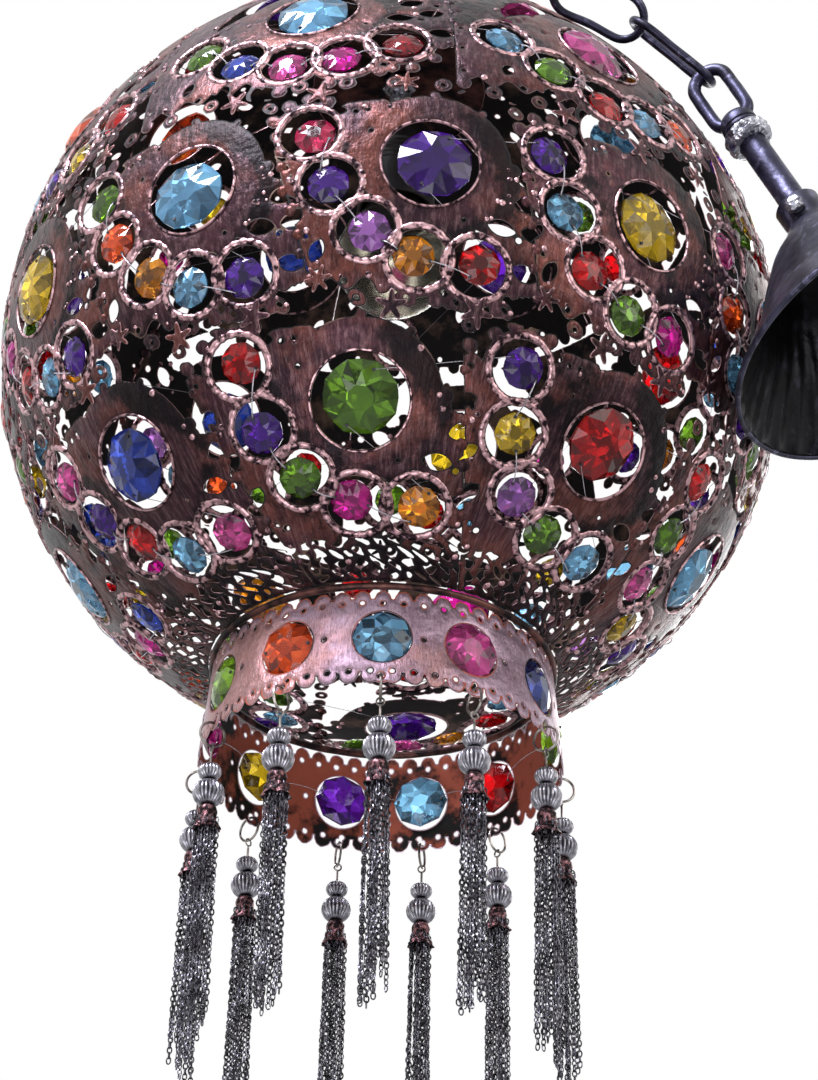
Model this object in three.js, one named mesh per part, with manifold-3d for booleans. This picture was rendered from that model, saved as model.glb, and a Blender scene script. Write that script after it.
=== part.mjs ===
// Beaded globe chandelier: pierced copper panels, faceted gems, a scalloped collar, chain tassels,
// a lamp inside, and its own chain and ceiling canopy lying over the globe's shoulder.
// Millimetres, +Z up. The origin is where a hook bears, under the top of the crown loop.
// Longitude 0 faces -Y and grows towards +X. Latitude 90 degrees is the crown.
import * as THREE from 'three';
import { mergeVertices } from 'three/addons/utils/BufferGeometryUtils.js';
import Module from 'manifold-3d';

const wasm = await Module();
wasm.setup();

// Fit between pieces that touch
const seat = 0.3;

// Globe and its pierced panels
const globeRadius = 190;
const sheet = 1.2;
const mouthRadius = 79.8;
const largeHoleRadius = 21;
const largeRimRadius = 34.5;
const smallHoleRadius = 12.7;
const smallRimRadius = 15.5;
const borderWidth = 4.5;
const sideMargin = 0.6;
const laceHeight = 15;
const lobeDepth = 5;
const lobeLength = 43;
const webWidth = 2.5;
const freeRimMargin = 1.5;
const freeGapWidth = 14;
const lobeTipShare = 0.44;

// Gems on their threads
const largeGemRadius = 16.6;
const largeGemDepth = 11;
const smallGemRadius = 9.2;
const smallGemDepth = 7;
const collarGemRadius = 12.9;
const collarGemDepth = 9;
const threadRadius = 0.45;
const threadDrop = 1.4;
const crownThreadDrop = 2.6;
const collarThreadDrop = 1.9;

// Collar and its seam
const seamWireRadius = 1.8;
const collarHeight = 48;
const hemRadius = 82;
const collarHoleRadius = 14;
const hemHoleRadius = 1.6;
const hemHoleInset = 4;
const hemLobeDepth = 3;

// Tassels
const jumpRingRadius = 5.75;
const jumpWireRadius = 0.6;
const eyePinRadius = 0.9;
const eyePinLength = 9;
const smallBeadRadius = 5.2;
const smallBeadLength = 8;
const largeBeadRadius = 7;
const largeBeadLength = 12.5;
const beadNeckRadius = 2.2;
const beadCapRadius = 6;
const beadCapNeckRadius = 4.8;
const beadCapLength = 11.5;
const strandLength = 96;
const strandRadius = 2;
const strandSpread = 2.8;

// Crown
const capSheet = 1.6;
const capSeat = 0.7;
const capRadius = 54;
const crownHoleRadius = 46;
const nippleRadius = 5;
const nippleBore = 3.2;
const nippleLength = 52;
const bossRadius = 9.5;
const bossHeight = 12;
const loopRadius = 18;
const loopWireRadius = 3;
const lockNutRadius = 9;
const lockNutHeight = 6;

// Lamp
const holderRadius = 20;
const holderLength = 58;
const holderWall = 2;
const holderNeckLength = 8;
const bulbCapRadius = 13;
const bulbCapLength = 26;
const bulbRadius = 30;
const bulbLength = 82;
const bulbNeckRadius = 14;

// Chain that lies over the shoulder
const linkCount = 6;
const linkPitch = 44;
const linkWireRadius = 2.2;
const linkEndRadius = 11.6;
const linkSlack = 0.45;
const drapeLift = 15.5;
const tailLift = 17;

// Stem and ceiling canopy
const stemWireRadius = 3.4;
const stemLoopRadius = 9;
const stemLoopLength = 36;
const stemLoopSlack = 1.5;
const stemCollarRadius = 9.2;
const stemCollarLength = 10;
const lockRingRadius = 11.8;
const lockRingLength = 9;
const stemRadius = 6.8;
const stemBore = 4.6;
const stemLength = 76;
const stemEndRadius = 9.4;
const stemEndLength = 6;
const canopyNeckRadius = 11;
const canopyNeckLength = 16;
const canopyDepth = 76;
const canopyRadius = 77;
const canopySheet = 1.6;
const canopyRollRadius = 2.4;
const screwRadius = 2.2;
const screwHeadRadius = 4.4;
const screwHeadLength = 4.2;
const screwSides = 8;
const restGap = 4;

// Directions and angles
const DEG = Math.PI / 180;
const drapeTurn = 1.46;
const drapeTurnStart = 16 * DEG;
const drapeSettle = 36 * DEG;
const drapeTail = 44 * DEG;
const upperRowTurn = 30 * DEG;
const freeSideTurns = [-8, 13, 34, 55, 76].map((turn) => turn * DEG);
const stemBearing = 77.4 * DEG;

// Colours
const copper = new THREE.MeshStandardMaterial({ color: 0x8a5a4c, roughness: 0.42, metalness: 0.9 });
const darkCopper = new THREE.MeshStandardMaterial({ color: 0x5a3a33, roughness: 0.5, metalness: 0.9 });
const gemstone = new THREE.MeshStandardMaterial({ color: 0x9a2f8e, roughness: 0.1, metalness: 0 });
const blueGem = new THREE.MeshStandardMaterial({ color: 0x5fa8cf, roughness: 0.1, metalness: 0 });
const gunmetal = new THREE.MeshStandardMaterial({ color: 0x2b2a3c, roughness: 0.38, metalness: 0.85 });
const zinc = new THREE.MeshStandardMaterial({ color: 0xb4b6bd, roughness: 0.35, metalness: 0.95 });
const tasselMetal = new THREE.MeshStandardMaterial({ color: 0x7d7a7c, roughness: 0.4, metalness: 0.9 });
const holderShell = new THREE.MeshStandardMaterial({ color: 0x1d1b1c, roughness: 0.5, metalness: 0.2 });
const bulbGlass = new THREE.MeshStandardMaterial({ color: 0xf4ead8, roughness: 0.15, metalness: 0 });
const bulbMetal = new THREE.MeshStandardMaterial({ color: 0xb9bbc0, roughness: 0.3, metalness: 0.95 });

// The crown stack stands on the globe's top, and the globe's centre follows from it.
const capInner = globeRadius + sheet / 2 + capSeat;
const capTop = capInner + capSheet;
const bossTop = capTop + seat + bossHeight;
const loopHeight = bossTop + 2 * loopRadius;
const globeZ = -(loopHeight - loopWireRadius);

const chandelier = new THREE.Group();
const globe = new THREE.Group();
globe.position.z = globeZ;
chandelier.add(globe);

function place(name, geometry, material, parent = globe) {
  const mesh = new THREE.Mesh(geometry, material);
  mesh.name = name;
  parent.add(mesh);
  return mesh;
}

const zAxis = new THREE.Vector3(0, 0, 1);

// Solids for joining and cutting
function solidOf(geometry) {
  const bare = geometry.index ? geometry.toNonIndexed() : geometry.clone();
  bare.deleteAttribute('normal');
  bare.deleteAttribute('uv');
  const welded = mergeVertices(bare);
  const vertProperties = new Float32Array(welded.attributes.position.array);
  const kept = [];
  const index = welded.index.array;
  for (let i = 0; i < index.length; i += 3) {
    const [a, b, c] = [index[i], index[i + 1], index[i + 2]];
    if (a !== b && b !== c && c !== a) kept.push(a, b, c);
  }
  return new wasm.Manifold(new wasm.Mesh({ numProp: 3, vertProperties, triVerts: new Uint32Array(kept) }));
}

function geometryOf(solid) {
  const mesh = solid.getMesh();
  const geometry = new THREE.BufferGeometry();
  geometry.setAttribute('position', new THREE.BufferAttribute(new Float32Array(mesh.vertProperties), 3));
  geometry.setIndex(Array.from(mesh.triVerts));
  return geometry;
}

function joined(geometries) {
  return geometries.map(solidOf).reduce((whole, piece) => whole.add(piece));
}

// A profile of [radius, height] pairs, turned about Z
function turned(points, sides) {
  const profile = points.map(([r, z]) => new THREE.Vector2(r, z));
  if (THREE.ShapeUtils.isClockWise(profile)) profile.reverse();
  const geometry = new THREE.LatheGeometry(profile, sides);
  geometry.rotateX(Math.PI / 2);
  return geometry;
}

// Points on the globe. A place is a longitude and a latitude, and an offset from it runs
// east and north in millimetres along the sphere.
function direction(longitude, latitude) {
  const across = Math.cos(latitude);
  return new THREE.Vector3(
    across * Math.sin(longitude), -across * Math.cos(longitude), Math.sin(latitude));
}

function tangents(centre) {
  const east = new THREE.Vector3(0, 0, 1).cross(centre);
  if (east.lengthSq() < Number.EPSILON) east.set(1, 0, 0);
  east.normalize();
  const north = centre.clone().cross(east);
  return { centre, east, north };
}

function offsetDirection(base, x, y) {
  const turn = Math.hypot(x, y) / globeRadius;
  const bearing = Math.atan2(y, x);
  return base.centre.clone().multiplyScalar(Math.cos(turn))
    .addScaledVector(base.east, Math.sin(turn) * Math.cos(bearing))
    .addScaledVector(base.north, Math.sin(turn) * Math.sin(bearing));
}

function flattened(base, point) {
  const turn = Math.acos(THREE.MathUtils.clamp(point.dot(base.centre), -1, 1));
  const bearing = Math.atan2(point.dot(base.north), point.dot(base.east));
  const reach = turn * globeRadius;
  return new THREE.Vector2(reach * Math.cos(bearing), reach * Math.sin(bearing));
}

// A flat outline with holes becomes a bent plate: its triangles are made well shaped,
// then both faces are carried onto the form by bend(x, y, height).
function triangulated(contour, holes) {
  const points = [...contour, ...holes.flat()];
  const faces = THREE.ShapeUtils.triangulateShape(contour, holes);
  const side = (a, b, c) => (b.x - a.x) * (c.y - a.y) - (b.y - a.y) * (c.x - a.x);
  const angleAt = (p, a, b) => {
    const u = a.clone().sub(p);
    const v = b.clone().sub(p);
    return Math.atan2(Math.abs(u.cross(v)), u.dot(v));
  };
  for (const face of faces) {
    if (side(...face.map((i) => points[i])) < 0) face.reverse();
  }
  let changed = true;
  for (let pass = 0; changed && pass < 40; pass += 1) {
    changed = false;
    const owner = new Map();
    faces.forEach((face, f) => face.forEach((a, k) => owner.set(`${a},${face[(k + 1) % 3]}`, [f, k])));
    const touched = new Set();
    for (const [key, [f, k]] of owner) {
      const [a, b] = key.split(',').map(Number);
      const twin = owner.get(`${b},${a}`);
      if (!twin || a > b || touched.has(f) || touched.has(twin[0])) continue;
      const c = faces[f][(k + 2) % 3];
      const d = faces[twin[0]][(twin[1] + 2) % 3];
      const [pa, pb, pc, pd] = [a, b, c, d].map((i) => points[i]);
      if (angleAt(pc, pa, pb) + angleAt(pd, pa, pb) <= Math.PI + 1e-6) continue;
      if (side(pc, pd, pb) <= 0 || side(pd, pc, pa) <= 0) continue;
      faces[f] = [c, d, b];
      faces[twin[0]] = [d, c, a];
      touched.add(f).add(twin[0]);
      changed = true;
    }
  }
  return { points, faces };
}

function plateTriangles(contour, holes, bend, isShared = () => false) {
  const ordered = THREE.ShapeUtils.isClockWise(contour) ? [...contour].reverse() : contour;
  const inner = holes.map((hole) => (THREE.ShapeUtils.isClockWise(hole) ? hole : [...hole].reverse()));
  const { points, faces } = triangulated(ordered, inner);
  const low = points.map((p) => bend(p.x, p.y, -sheet / 2));
  const high = points.map((p) => bend(p.x, p.y, sheet / 2));
  const triangles = [];
  for (const [a, b, c] of faces) {
    triangles.push([high[a], high[b], high[c]], [low[a], low[c], low[b]]);
  }
  let first = 0;
  for (const loop of [ordered, ...inner]) {
    loop.forEach((point, k) => {
      const a = first + k;
      const b = first + ((k + 1) % loop.length);
      if (isShared(points[a], points[b])) return;
      triangles.push([low[a], low[b], high[b]], [low[a], high[b], high[a]]);
    });
    first += loop.length;
  }
  return triangles;
}

function geometryFrom(triangles) {
  const numbers = triangles.flatMap((face) => face.flatMap((p) => [p.x, p.y, p.z]));
  const geometry = new THREE.BufferGeometry();
  geometry.setAttribute('position', new THREE.Float32BufferAttribute(numbers, 3));
  return mergeVertices(geometry, seat / 100);
}

function circle(radius, sides, turn = 0) {
  return Array.from({ length: sides }, (unused, k) => {
    const angle = turn + ((k + 0.5) / sides) * 2 * Math.PI;
    return new THREE.Vector2(radius * Math.cos(angle), radius * Math.sin(angle));
  });
}

// The motif: one large ring with five small rings in a crescent at its lower left.
// The places are shares of the reach at which a small rim touches the large one.
const motifReach = largeRimRadius + smallRimRadius;
const crescentShares = [[-1.06, 0.3], [-0.86, -0.23], [-0.53, -0.66], [-0.07, -0.9], [0.44, -0.94]];
const largeSides = 8;
const smallSides = 6;

function motif(turn) {
  return crescentShares.map(([x, y]) => {
    const place = new THREE.Vector2(x, y).multiplyScalar(motifReach);
    return place.rotateAround(new THREE.Vector2(), turn);
  });
}

function motifExtent(places) {
  const xs = places.map((p) => p.x);
  const ys = places.map((p) => p.y);
  return {
    left: Math.min(...xs) - smallRimRadius,
    right: Math.max(...xs, largeRimRadius - smallRimRadius) + smallRimRadius,
    below: Math.min(...ys) - smallRimRadius,
    above: largeRimRadius,
  };
}

const rowHeight = 2 * borderWidth + largeRimRadius + smallRimRadius - crescentShares[4][1] * motifReach;
const rowAngle = rowHeight / globeRadius;
const mouthLatitude = -Math.acos(mouthRadius / globeRadius);
const lowestRow = mouthLatitude + laceHeight / globeRadius;

function makeRow(level, turn, phaseShare, leanShare) {
  const places = motif(turn);
  const extent = motifExtent(places);
  const bottom = lowestRow + level * rowAngle;
  const top = bottom + rowAngle;
  const spare = (rowHeight - extent.above + extent.below) / 2;
  const latitude = top - (extent.above + spare) / globeRadius;
  const around = 2 * Math.PI * globeRadius * Math.cos(latitude);
  const count = Math.floor(around / (extent.right - extent.left + 2 * sideMargin));
  const pitch = (2 * Math.PI) / count;
  return {
    places, turn, count, pitch, latitude, top, phase: phaseShare * pitch, leanShare,
    bottom: level === 0 ? mouthLatitude : bottom,
    middle: (extent.left + extent.right) / 2,
  };
}

const lowerRow = makeRow(0, 0, -0.1, -0.245);
const middleRow = makeRow(1, 0, 0.153, -0.245);
const upperRow = makeRow(2, upperRowTurn, -0.282, 0);

// A point on a cell: u and v run from -1 to 1 across and up, and the insets are in millimetres.
function cellDirection(row, longitude, span, u, v, insetU, insetV) {
  const middle = (row.bottom + row.top) / 2;
  const half = (row.top - row.bottom) / 2;
  const latitude = middle + v * (half - (seat / 2 + insetV) / globeRadius);
  const north = (latitude - row.latitude) * globeRadius;
  const lean = row.middle + row.leanShare * (north + row.leanShare * motifReach);
  const along = globeRadius * Math.cos(latitude);
  const start = longitude - row.pitch / 2;
  const left = start + (lean + seat / 2 + insetU) / along;
  const right = start + span * row.pitch + (lean - seat / 2 - insetU) / along;
  return direction(THREE.MathUtils.lerp(left, right, (u + 1) / 2), latitude);
}

function lobedOutline(row, longitude, span, base, holes) {
  const clear = (point) => holes.every((hole) => point.distanceTo(hole.centre) > hole.radius + webWidth);
  const height = (row.top - row.bottom) * globeRadius;
  const width = row.pitch * span * globeRadius * Math.cos(row.latitude);
  const upLobes = Math.max(2, Math.round(height / lobeLength));
  const acrossLobes = Math.max(2, Math.round(width / lobeLength));
  const sides = [
    { lobes: acrossLobes, at: (s) => [2 * s - 1, -1], deep: [0, 1] },
    { lobes: upLobes, at: (s) => [1, 2 * s - 1], deep: [1, 0] },
    { lobes: acrossLobes, at: (s) => [1 - 2 * s, 1], deep: [0, 1] },
    { lobes: upLobes, at: (s) => [-1, 1 - 2 * s], deep: [1, 0] },
  ];
  const outline = [];
  for (const { lobes, at, deep } of sides) {
    for (let k = 0; k < lobes; k += 1) {
      const corner = k === 0;
      const valley = [1, 0.75, 0.5, 0.25, 0].map((share) => {
        const inset = share * lobeDepth;
        const insets = corner ? [inset, inset] : deep.map((d) => d * inset);
        return flattened(base, cellDirection(row, longitude, span, ...at(k / lobes), ...insets));
      });
      outline.push(valley.find(clear) ?? valley.at(-1));
      for (const end of [-1, 1]) {
        const s = (k + 0.5 + (end * lobeTipShare) / 2) / lobes;
        outline.push(flattened(base, cellDirection(row, longitude, span, ...at(s), 0, 0)));
      }
    }
  }
  return outline;
}

function onSphere(base) {
  return (x, y, height) => offsetDirection(base, x, y).multiplyScalar(globeRadius + height);
}

function holeAt(base, home, x, y, radius, sides) {
  const ring = circle(radius, sides).map((p) => flattened(base, offsetDirection(home, x + p.x, y + p.y)));
  return { ring, radius, centre: flattened(base, offsetDirection(home, x, y)) };
}

function motifHoles(row, longitude, base) {
  const home = tangents(direction(longitude, row.latitude));
  const small = row.places.map((p) => holeAt(base, home, p.x, p.y, smallHoleRadius, smallSides));
  return [holeAt(base, home, 0, 0, largeHoleRadius, largeSides), ...small];
}

// Beyond its upper right side the large ring stands free, and a curved gap follows it.
function freeGap(row, longitude, base) {
  const home = tangents(direction(longitude, row.latitude));
  const arc = (reach) => freeSideTurns.map((turn) => polar(reach, turn + row.turn));
  const near = largeRimRadius + freeRimMargin;
  const loop = [...arc(near + freeGapWidth), ...arc(near).reverse()];
  return loop.map((p) => flattened(base, offsetDirection(home, p.x, p.y)));
}

function cutOutline(outline, gaps) {
  const section = (loop) => new wasm.CrossSection([loop.map((p) => [p.x, p.y])]);
  const left = gaps.reduce((rest, gap) => rest.subtract(section(gap)), section(outline));
  const loops = left.simplify(seat).toPolygons().map((loop) => loop.map(([x, y]) => new THREE.Vector2(x, y)));
  return loops.reduce((a, b) => (THREE.ShapeUtils.area(b) > THREE.ShapeUtils.area(a) ? b : a));
}

function rowPanel(row, index, span) {
  const longitude = row.phase + index * row.pitch;
  const middle = (row.bottom + row.top) / 2;
  const base = tangents(direction(longitude + ((span - 1) * row.pitch) / 2, middle));
  const motifs = Array.from({ length: span }, (unused, k) => motifHoles(row, longitude + k * row.pitch, base));
  const holes = motifs.flat();
  const gaps = motifs.map((unused, k) => freeGap(row, longitude + k * row.pitch, base));
  const outline = cutOutline(lobedOutline(row, longitude, span, base, holes), gaps);
  return geometryFrom(plateTriangles(outline, holes.map((hole) => hole.ring), onSphere(base)));
}

function addRow(name, row, span) {
  const pieces = Math.floor(row.count / span);
  for (let k = 0; k < pieces; k += 1) {
    const own = k === pieces - 1 ? row.count - k * span : span;
    place(`${name}_${k + 1}`, rowPanel(row, k * span, own), copper);
  }
}

addRow('globe_panel_lower', lowerRow, 1);
addRow('globe_panel_middle', middleRow, 1);
addRow('globe_panel_upper', upperRow, 2);

// Crown dome: one plate round the pole, made of equal sectors
const crownReach = (Math.PI / 2 - upperRow.top) * globeRadius - seat / 2;
const crownSectors = 6;
const crownLargeReach = (crownReach + crownHoleRadius) / 2 + largeRimRadius / 4;
const crownSmallReaches = [
  crownReach - borderWidth - smallRimRadius,
  crownReach - borderWidth - 3 * smallRimRadius - borderWidth,
];

function polar(reach, angle) {
  return new THREE.Vector2(reach * Math.cos(angle), reach * Math.sin(angle));
}

function crownPlaces() {
  const places = [];
  const sector = (2 * Math.PI) / crownSectors;
  for (let k = 0; k < crownSectors; k += 1) {
    const large = polar(crownLargeReach, k * sector);
    places.push({ x: large.x, y: large.y, large: true, sector: k });
    for (const reach of crownSmallReaches) {
      const small = polar(reach, (k + 0.5) * sector);
      places.push({ x: small.x, y: small.y, large: false, sector: k });
    }
  }
  return places;
}

function crownDome() {
  const pole = tangents(new THREE.Vector3(0, 0, 1));
  const sector = (2 * Math.PI) / crownSectors;
  const lobes = 3;
  const triangles = [];
  for (let k = 0; k < crownSectors; k += 1) {
    const start = (k - 0.25) * sector;
    const outline = [];
    for (let j = 0; j < lobes; j += 1) {
      outline.push(polar(crownReach - lobeDepth, start + (sector * j) / lobes));
      outline.push(polar(crownReach, start + (sector * (j + 0.5 - lobeTipShare / 2)) / lobes));
      outline.push(polar(crownReach, start + (sector * (j + 0.5 + lobeTipShare / 2)) / lobes));
    }
    outline.push(polar(crownReach - lobeDepth, start + sector));
    const seamReaches = [0.72, 0.36].map((share) => THREE.MathUtils.lerp(crownHoleRadius, crownReach, share));
    outline.push(...seamReaches.map((reach) => polar(reach, start + sector)));
    outline.push(polar(crownHoleRadius, start + sector));
    outline.push(polar(crownHoleRadius, start + sector / 2));
    outline.push(polar(crownHoleRadius, start));
    outline.push(...[...seamReaches].reverse().map((reach) => polar(reach, start)));
    const holes = crownPlaces().filter((place) => place.sector === k).map((place) =>
      holeAt(pole, pole, place.x, place.y, place.large ? largeHoleRadius : smallHoleRadius,
        place.large ? largeSides : smallSides).ring);
    const onEdge = (p) => {
      const turns = (Math.atan2(p.y, p.x) - start) / sector;
      const beside = turns - crownSectors * Math.round(turns / crownSectors);
      return Math.abs(beside) < 1e-6 || Math.abs(beside - 1) < 1e-6;
    };
    const isShared = (a, b) => onEdge(a) && onEdge(b) && Math.abs(a.cross(b)) < 1e-3;
    triangles.push(...plateTriangles(outline, holes, onSphere(pole), isShared));
  }
  return geometryFrom(triangles);
}

place('globe_crown_dome', crownDome(), copper);

// Gems on a thread, inside the panels: one body for each row. A gem is a double pyramid, and
// where the thread meets its girdle a corner opens into a small triangle that the thread fits.
const threadReach = globeRadius - sheet / 2;
const largeGem = { radius: largeGemRadius, depth: largeGemDepth, sides: 8 };
const smallGem = { radius: smallGemRadius, depth: smallGemDepth, sides: 6 };
const collarGem = { radius: collarGemRadius, depth: collarGemDepth, sides: 8 };

function gemSpot(home, x, y, form, drop) {
  const normal = offsetDirection(home, x, y);
  return { normal, form, centre: normal.clone().multiplyScalar(threadReach - drop) };
}

function rowSpots(row) {
  const spots = [];
  for (let k = row.count - 1; k >= 0; k -= 1) {
    const home = tangents(direction(row.phase + k * row.pitch, row.latitude));
    spots.push(gemSpot(home, 0, 0, largeGem, threadDrop));
    for (const p of [...row.places].reverse()) spots.push(gemSpot(home, p.x, p.y, smallGem, threadDrop));
  }
  return spots;
}

function crownSpots() {
  const pole = tangents(new THREE.Vector3(0, 0, 1));
  return crownPlaces().map((place) =>
    gemSpot(pole, place.x, place.y, place.large ? largeGem : smallGem, crownThreadDrop));
}

// The girdle starts at the corner that faces the next gem, and opens again where the last one was.
function gemCorners(spot, previous, next) {
  const { centre, normal, form } = spot;
  const ahead = (next ?? previous).centre.clone().sub(centre);
  const across = ahead.addScaledVector(normal, -ahead.dot(normal)).normalize();
  const aside = normal.clone().cross(across);
  const angleTo = (other) => {
    const way = other.centre.clone().sub(centre);
    return Math.atan2(way.dot(aside), way.dot(across));
  };
  const step = (2 * Math.PI) / form.sides;
  const back = previous ? Math.round(angleTo(previous) / step + form.sides) % form.sides : -1;
  const opened = { [next ? 0 : -1]: 'next', [next && back === 0 ? 1 : back]: 'previous' };
  const at = (turn, reach, rise) => centre.clone()
    .addScaledVector(across, reach * Math.cos(turn))
    .addScaledVector(aside, reach * Math.sin(turn))
    .addScaledVector(normal, rise);
  const ports = {};
  const upper = [];
  const lower = [];
  for (let k = 0; k < form.sides; k += 1) {
    const turn = k * step;
    if (!opened[k]) {
      const corner = at(turn, form.radius, 0);
      upper.push(corner);
      lower.push(corner);
    } else {
      const slip = threadRadius / form.radius;
      const before = at(turn - slip, form.radius, -threadRadius / 2);
      const after = at(turn + slip, form.radius, -threadRadius / 2);
      const above = at(turn, form.radius, threadRadius);
      ports[opened[k]] = { before, after, above };
      upper.push(before, above, after);
      lower.push(before, after);
    }
  }
  return { upper, lower, ports, table: at(0, 0, form.depth / 2), tip: at(0, 0, -form.depth / 2) };
}

function gemString(spots) {
  const triangles = [];
  const gems = spots.map((spot, k) => gemCorners(spot, spots[k - 1], spots[k + 1]));
  gems.forEach(({ upper, lower, ports, table, tip }, k) => {
    upper.forEach((corner, j) => triangles.push([table, corner, upper[(j + 1) % upper.length]]));
    lower.forEach((corner, j) => triangles.push([tip, lower[(j + 1) % lower.length], corner]));
    const out = ports.next;
    const into = gems[k + 1]?.ports.previous;
    if (!out) return;
    triangles.push([out.above, out.before, into.after], [out.above, into.after, into.above]);
    triangles.push([out.before, out.after, into.before], [out.before, into.before, into.after]);
    triangles.push([out.after, out.above, into.above], [out.after, into.above, into.before]);
  });
  return geometryFrom(triangles);
}

place('gem_string_lower', gemString(rowSpots(lowerRow)), gemstone);
place('gem_string_middle', gemString(rowSpots(middleRow)), blueGem);
place('gem_string_upper', gemString(rowSpots(upperRow)), gemstone);
place('gem_string_crown', gemString(crownSpots()), blueGem);

// Seam wire between the globe's mouth and the collar
const southward = new THREE.Vector2(Math.sin(mouthLatitude), -Math.cos(mouthLatitude));
const mouthEdge = new THREE.Vector2(Math.cos(mouthLatitude), Math.sin(mouthLatitude))
  .multiplyScalar(globeRadius);
const seam = mouthEdge.clone().addScaledVector(southward, seamWireRadius + seat);
const seamSteps = 33;
const seamRing = new THREE.TorusGeometry(seam.x, seamWireRadius, 5, seamSteps);
seamRing.translate(0, 0, seam.y);
place('seam_wire', seamRing, darkCopper);

// Collar: sectors of uneven width, one for each gem and its tassel
const collarTop = seam.y - seamWireRadius - seat;
const collarTurns = [0, 29, 61, 96, 138, 166, 194, 228, 264, 297, 329].map((turn) => turn * DEG);
const collarRadiusAt = (drop) => THREE.MathUtils.lerp(seam.x, hemRadius, drop / collarHeight);
const hemHoleDrop = collarHeight - hemHoleInset;
const hemValleyShares = [0.75, 0.25];
const hemValleyHalfShare = 0.08;

function onCollar(planarReach) {
  return (x, y, height) => {
    const drop = Math.hypot(x, y) - planarReach;
    const radius = collarRadiusAt(drop) + height;
    const turn = Math.atan2(y, x);
    return new THREE.Vector3(radius * Math.sin(turn), -radius * Math.cos(turn), collarTop - drop);
  };
}

function collarBand() {
  const planarReach = hemRadius;
  const flat = (turn, drop) => polar(planarReach + drop, turn);
  const hole = (turn, drop, radius, sides) => circle(radius, sides).map((p) =>
    flat(turn + p.x / collarRadiusAt(drop), drop + p.y));
  const triangles = [];
  const count = collarTurns.length;
  const border = (k) => {
    const a = collarTurns[(k + count) % count] + 2 * Math.PI * Math.floor(k / count);
    const b = collarTurns[(k + 1 + count) % count] + 2 * Math.PI * Math.floor((k + 1) / count);
    return (a + b) / 2;
  };
  for (let k = 0; k < count; k += 1) {
    const from = border(k - 1);
    const to = border(k);
    const at = (share) => THREE.MathUtils.lerp(from, to, share);
    const outline = [0, 0.5, 1].map((share) => flat(at(share), 0));
    outline.push(flat(to, collarHeight / 2), flat(to, collarHeight));
    for (const valley of hemValleyShares) {
      outline.push(flat(at(valley + hemValleyHalfShare), collarHeight));
      outline.push(flat(at(valley), collarHeight - hemLobeDepth));
      outline.push(flat(at(valley - hemValleyHalfShare), collarHeight));
    }
    outline.push(flat(from, collarHeight), flat(from, collarHeight / 2));
    const holes = [
      hole(collarTurns[k], collarHeight / 2, collarHoleRadius, 8),
      hole(collarTurns[k], hemHoleDrop, hemHoleRadius, 4),
    ];
    const onEdge = (p) => [from, to].some((edge) => {
      const apart = Math.atan2(p.y, p.x) - edge;
      return Math.abs(apart - 2 * Math.PI * Math.round(apart / (2 * Math.PI))) < 1e-6;
    });
    const isShared = (a, b) => onEdge(a) && onEdge(b) && Math.abs(a.cross(b)) < 1e-3;
    triangles.push(...plateTriangles(outline, holes, onCollar(planarReach), isShared));
  }
  return geometryFrom(triangles);
}

place('collar_band', collarBand(), copper);

function collarSpots() {
  const drop = collarHeight / 2;
  const radius = collarRadiusAt(drop) - sheet / 2 - collarThreadDrop;
  return collarTurns.map((turn) => {
    const normal = direction(turn, 0);
    const centre = normal.clone().multiplyScalar(radius);
    centre.z = collarTop - drop;
    return { normal, centre, form: collarGem };
  });
}

place('gem_string_collar', gemString(collarSpots()), gemstone);

// Tassels: jump ring, eye pin, two beads, a bead cap and a bunch of fine chains
const strandShares = [[1, 0, 1], [-0.5, 0.87, 0.9], [-0.5, -0.87, 1.08]];
const ringSteps = 10;
const tasselRingDrop = hemHoleDrop + hemHoleRadius - seat - jumpWireRadius
  + jumpRingRadius * Math.cos(Math.PI / ringSteps);

function rod(from, to, radius, sides) {
  const span = to.clone().sub(from);
  const bar = new THREE.CylinderGeometry(radius, radius, span.length(), sides);
  bar.rotateX(Math.PI / 2);
  bar.applyQuaternion(new THREE.Quaternion().setFromUnitVectors(zAxis, span.normalize()));
  const middle = from.clone().add(to).multiplyScalar(0.5);
  bar.translate(middle.x, middle.y, middle.z);
  return bar;
}

function tasselGeometry() {
  const ring = new THREE.TorusGeometry(jumpRingRadius, jumpWireRadius, 3, ringSteps);
  ring.rotateX(Math.PI / 2);
  const profile = [];
  let z = -jumpRingRadius + jumpWireRadius;
  const down = (length, radius) => {
    z -= length;
    profile.push([radius, z]);
  };
  down(0, 0);
  down(0, eyePinRadius);
  down(eyePinLength, eyePinRadius);
  down(smallBeadLength / 2, smallBeadRadius);
  down(smallBeadLength / 2, beadNeckRadius);
  down(largeBeadLength * 0.35, largeBeadRadius);
  down(largeBeadLength * 0.3, largeBeadRadius);
  down(largeBeadLength * 0.35, beadCapNeckRadius);
  down(beadCapLength, beadCapRadius);
  down(0, 0);
  const pieces = [ring, turned(profile, 6)];
  for (const [x, y, lengthShare] of strandShares) {
    const foot = new THREE.Vector3(x * strandSpread, y * strandSpread, z - strandLength * lengthShare);
    const neck = foot.clone().setZ(z + strandRadius / 2);
    pieces.push(rod(foot, neck, strandRadius, 3));
  }
  return geometryOf(joined(pieces));
}

const tassel = tasselGeometry();
const tasselPivots = collarTurns.map((turn, k) => {
  const mesh = place(`tassel_${k + 1}`, tassel, tasselMetal);
  const radius = collarRadiusAt(hemHoleDrop);
  mesh.position.set(radius * Math.sin(turn), -radius * Math.cos(turn), collarTop - tasselRingDrop);
  mesh.rotation.z = turn - Math.PI / 2;
  return { at: mesh.position.clone(), turn };
});

// Crown: cap, nipple, lock nut and the loop that the hook goes through
const capAngle = Math.asin(capRadius / capInner);
const capSteps = 2;
const nippleHole = nippleRadius + seat;

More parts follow.
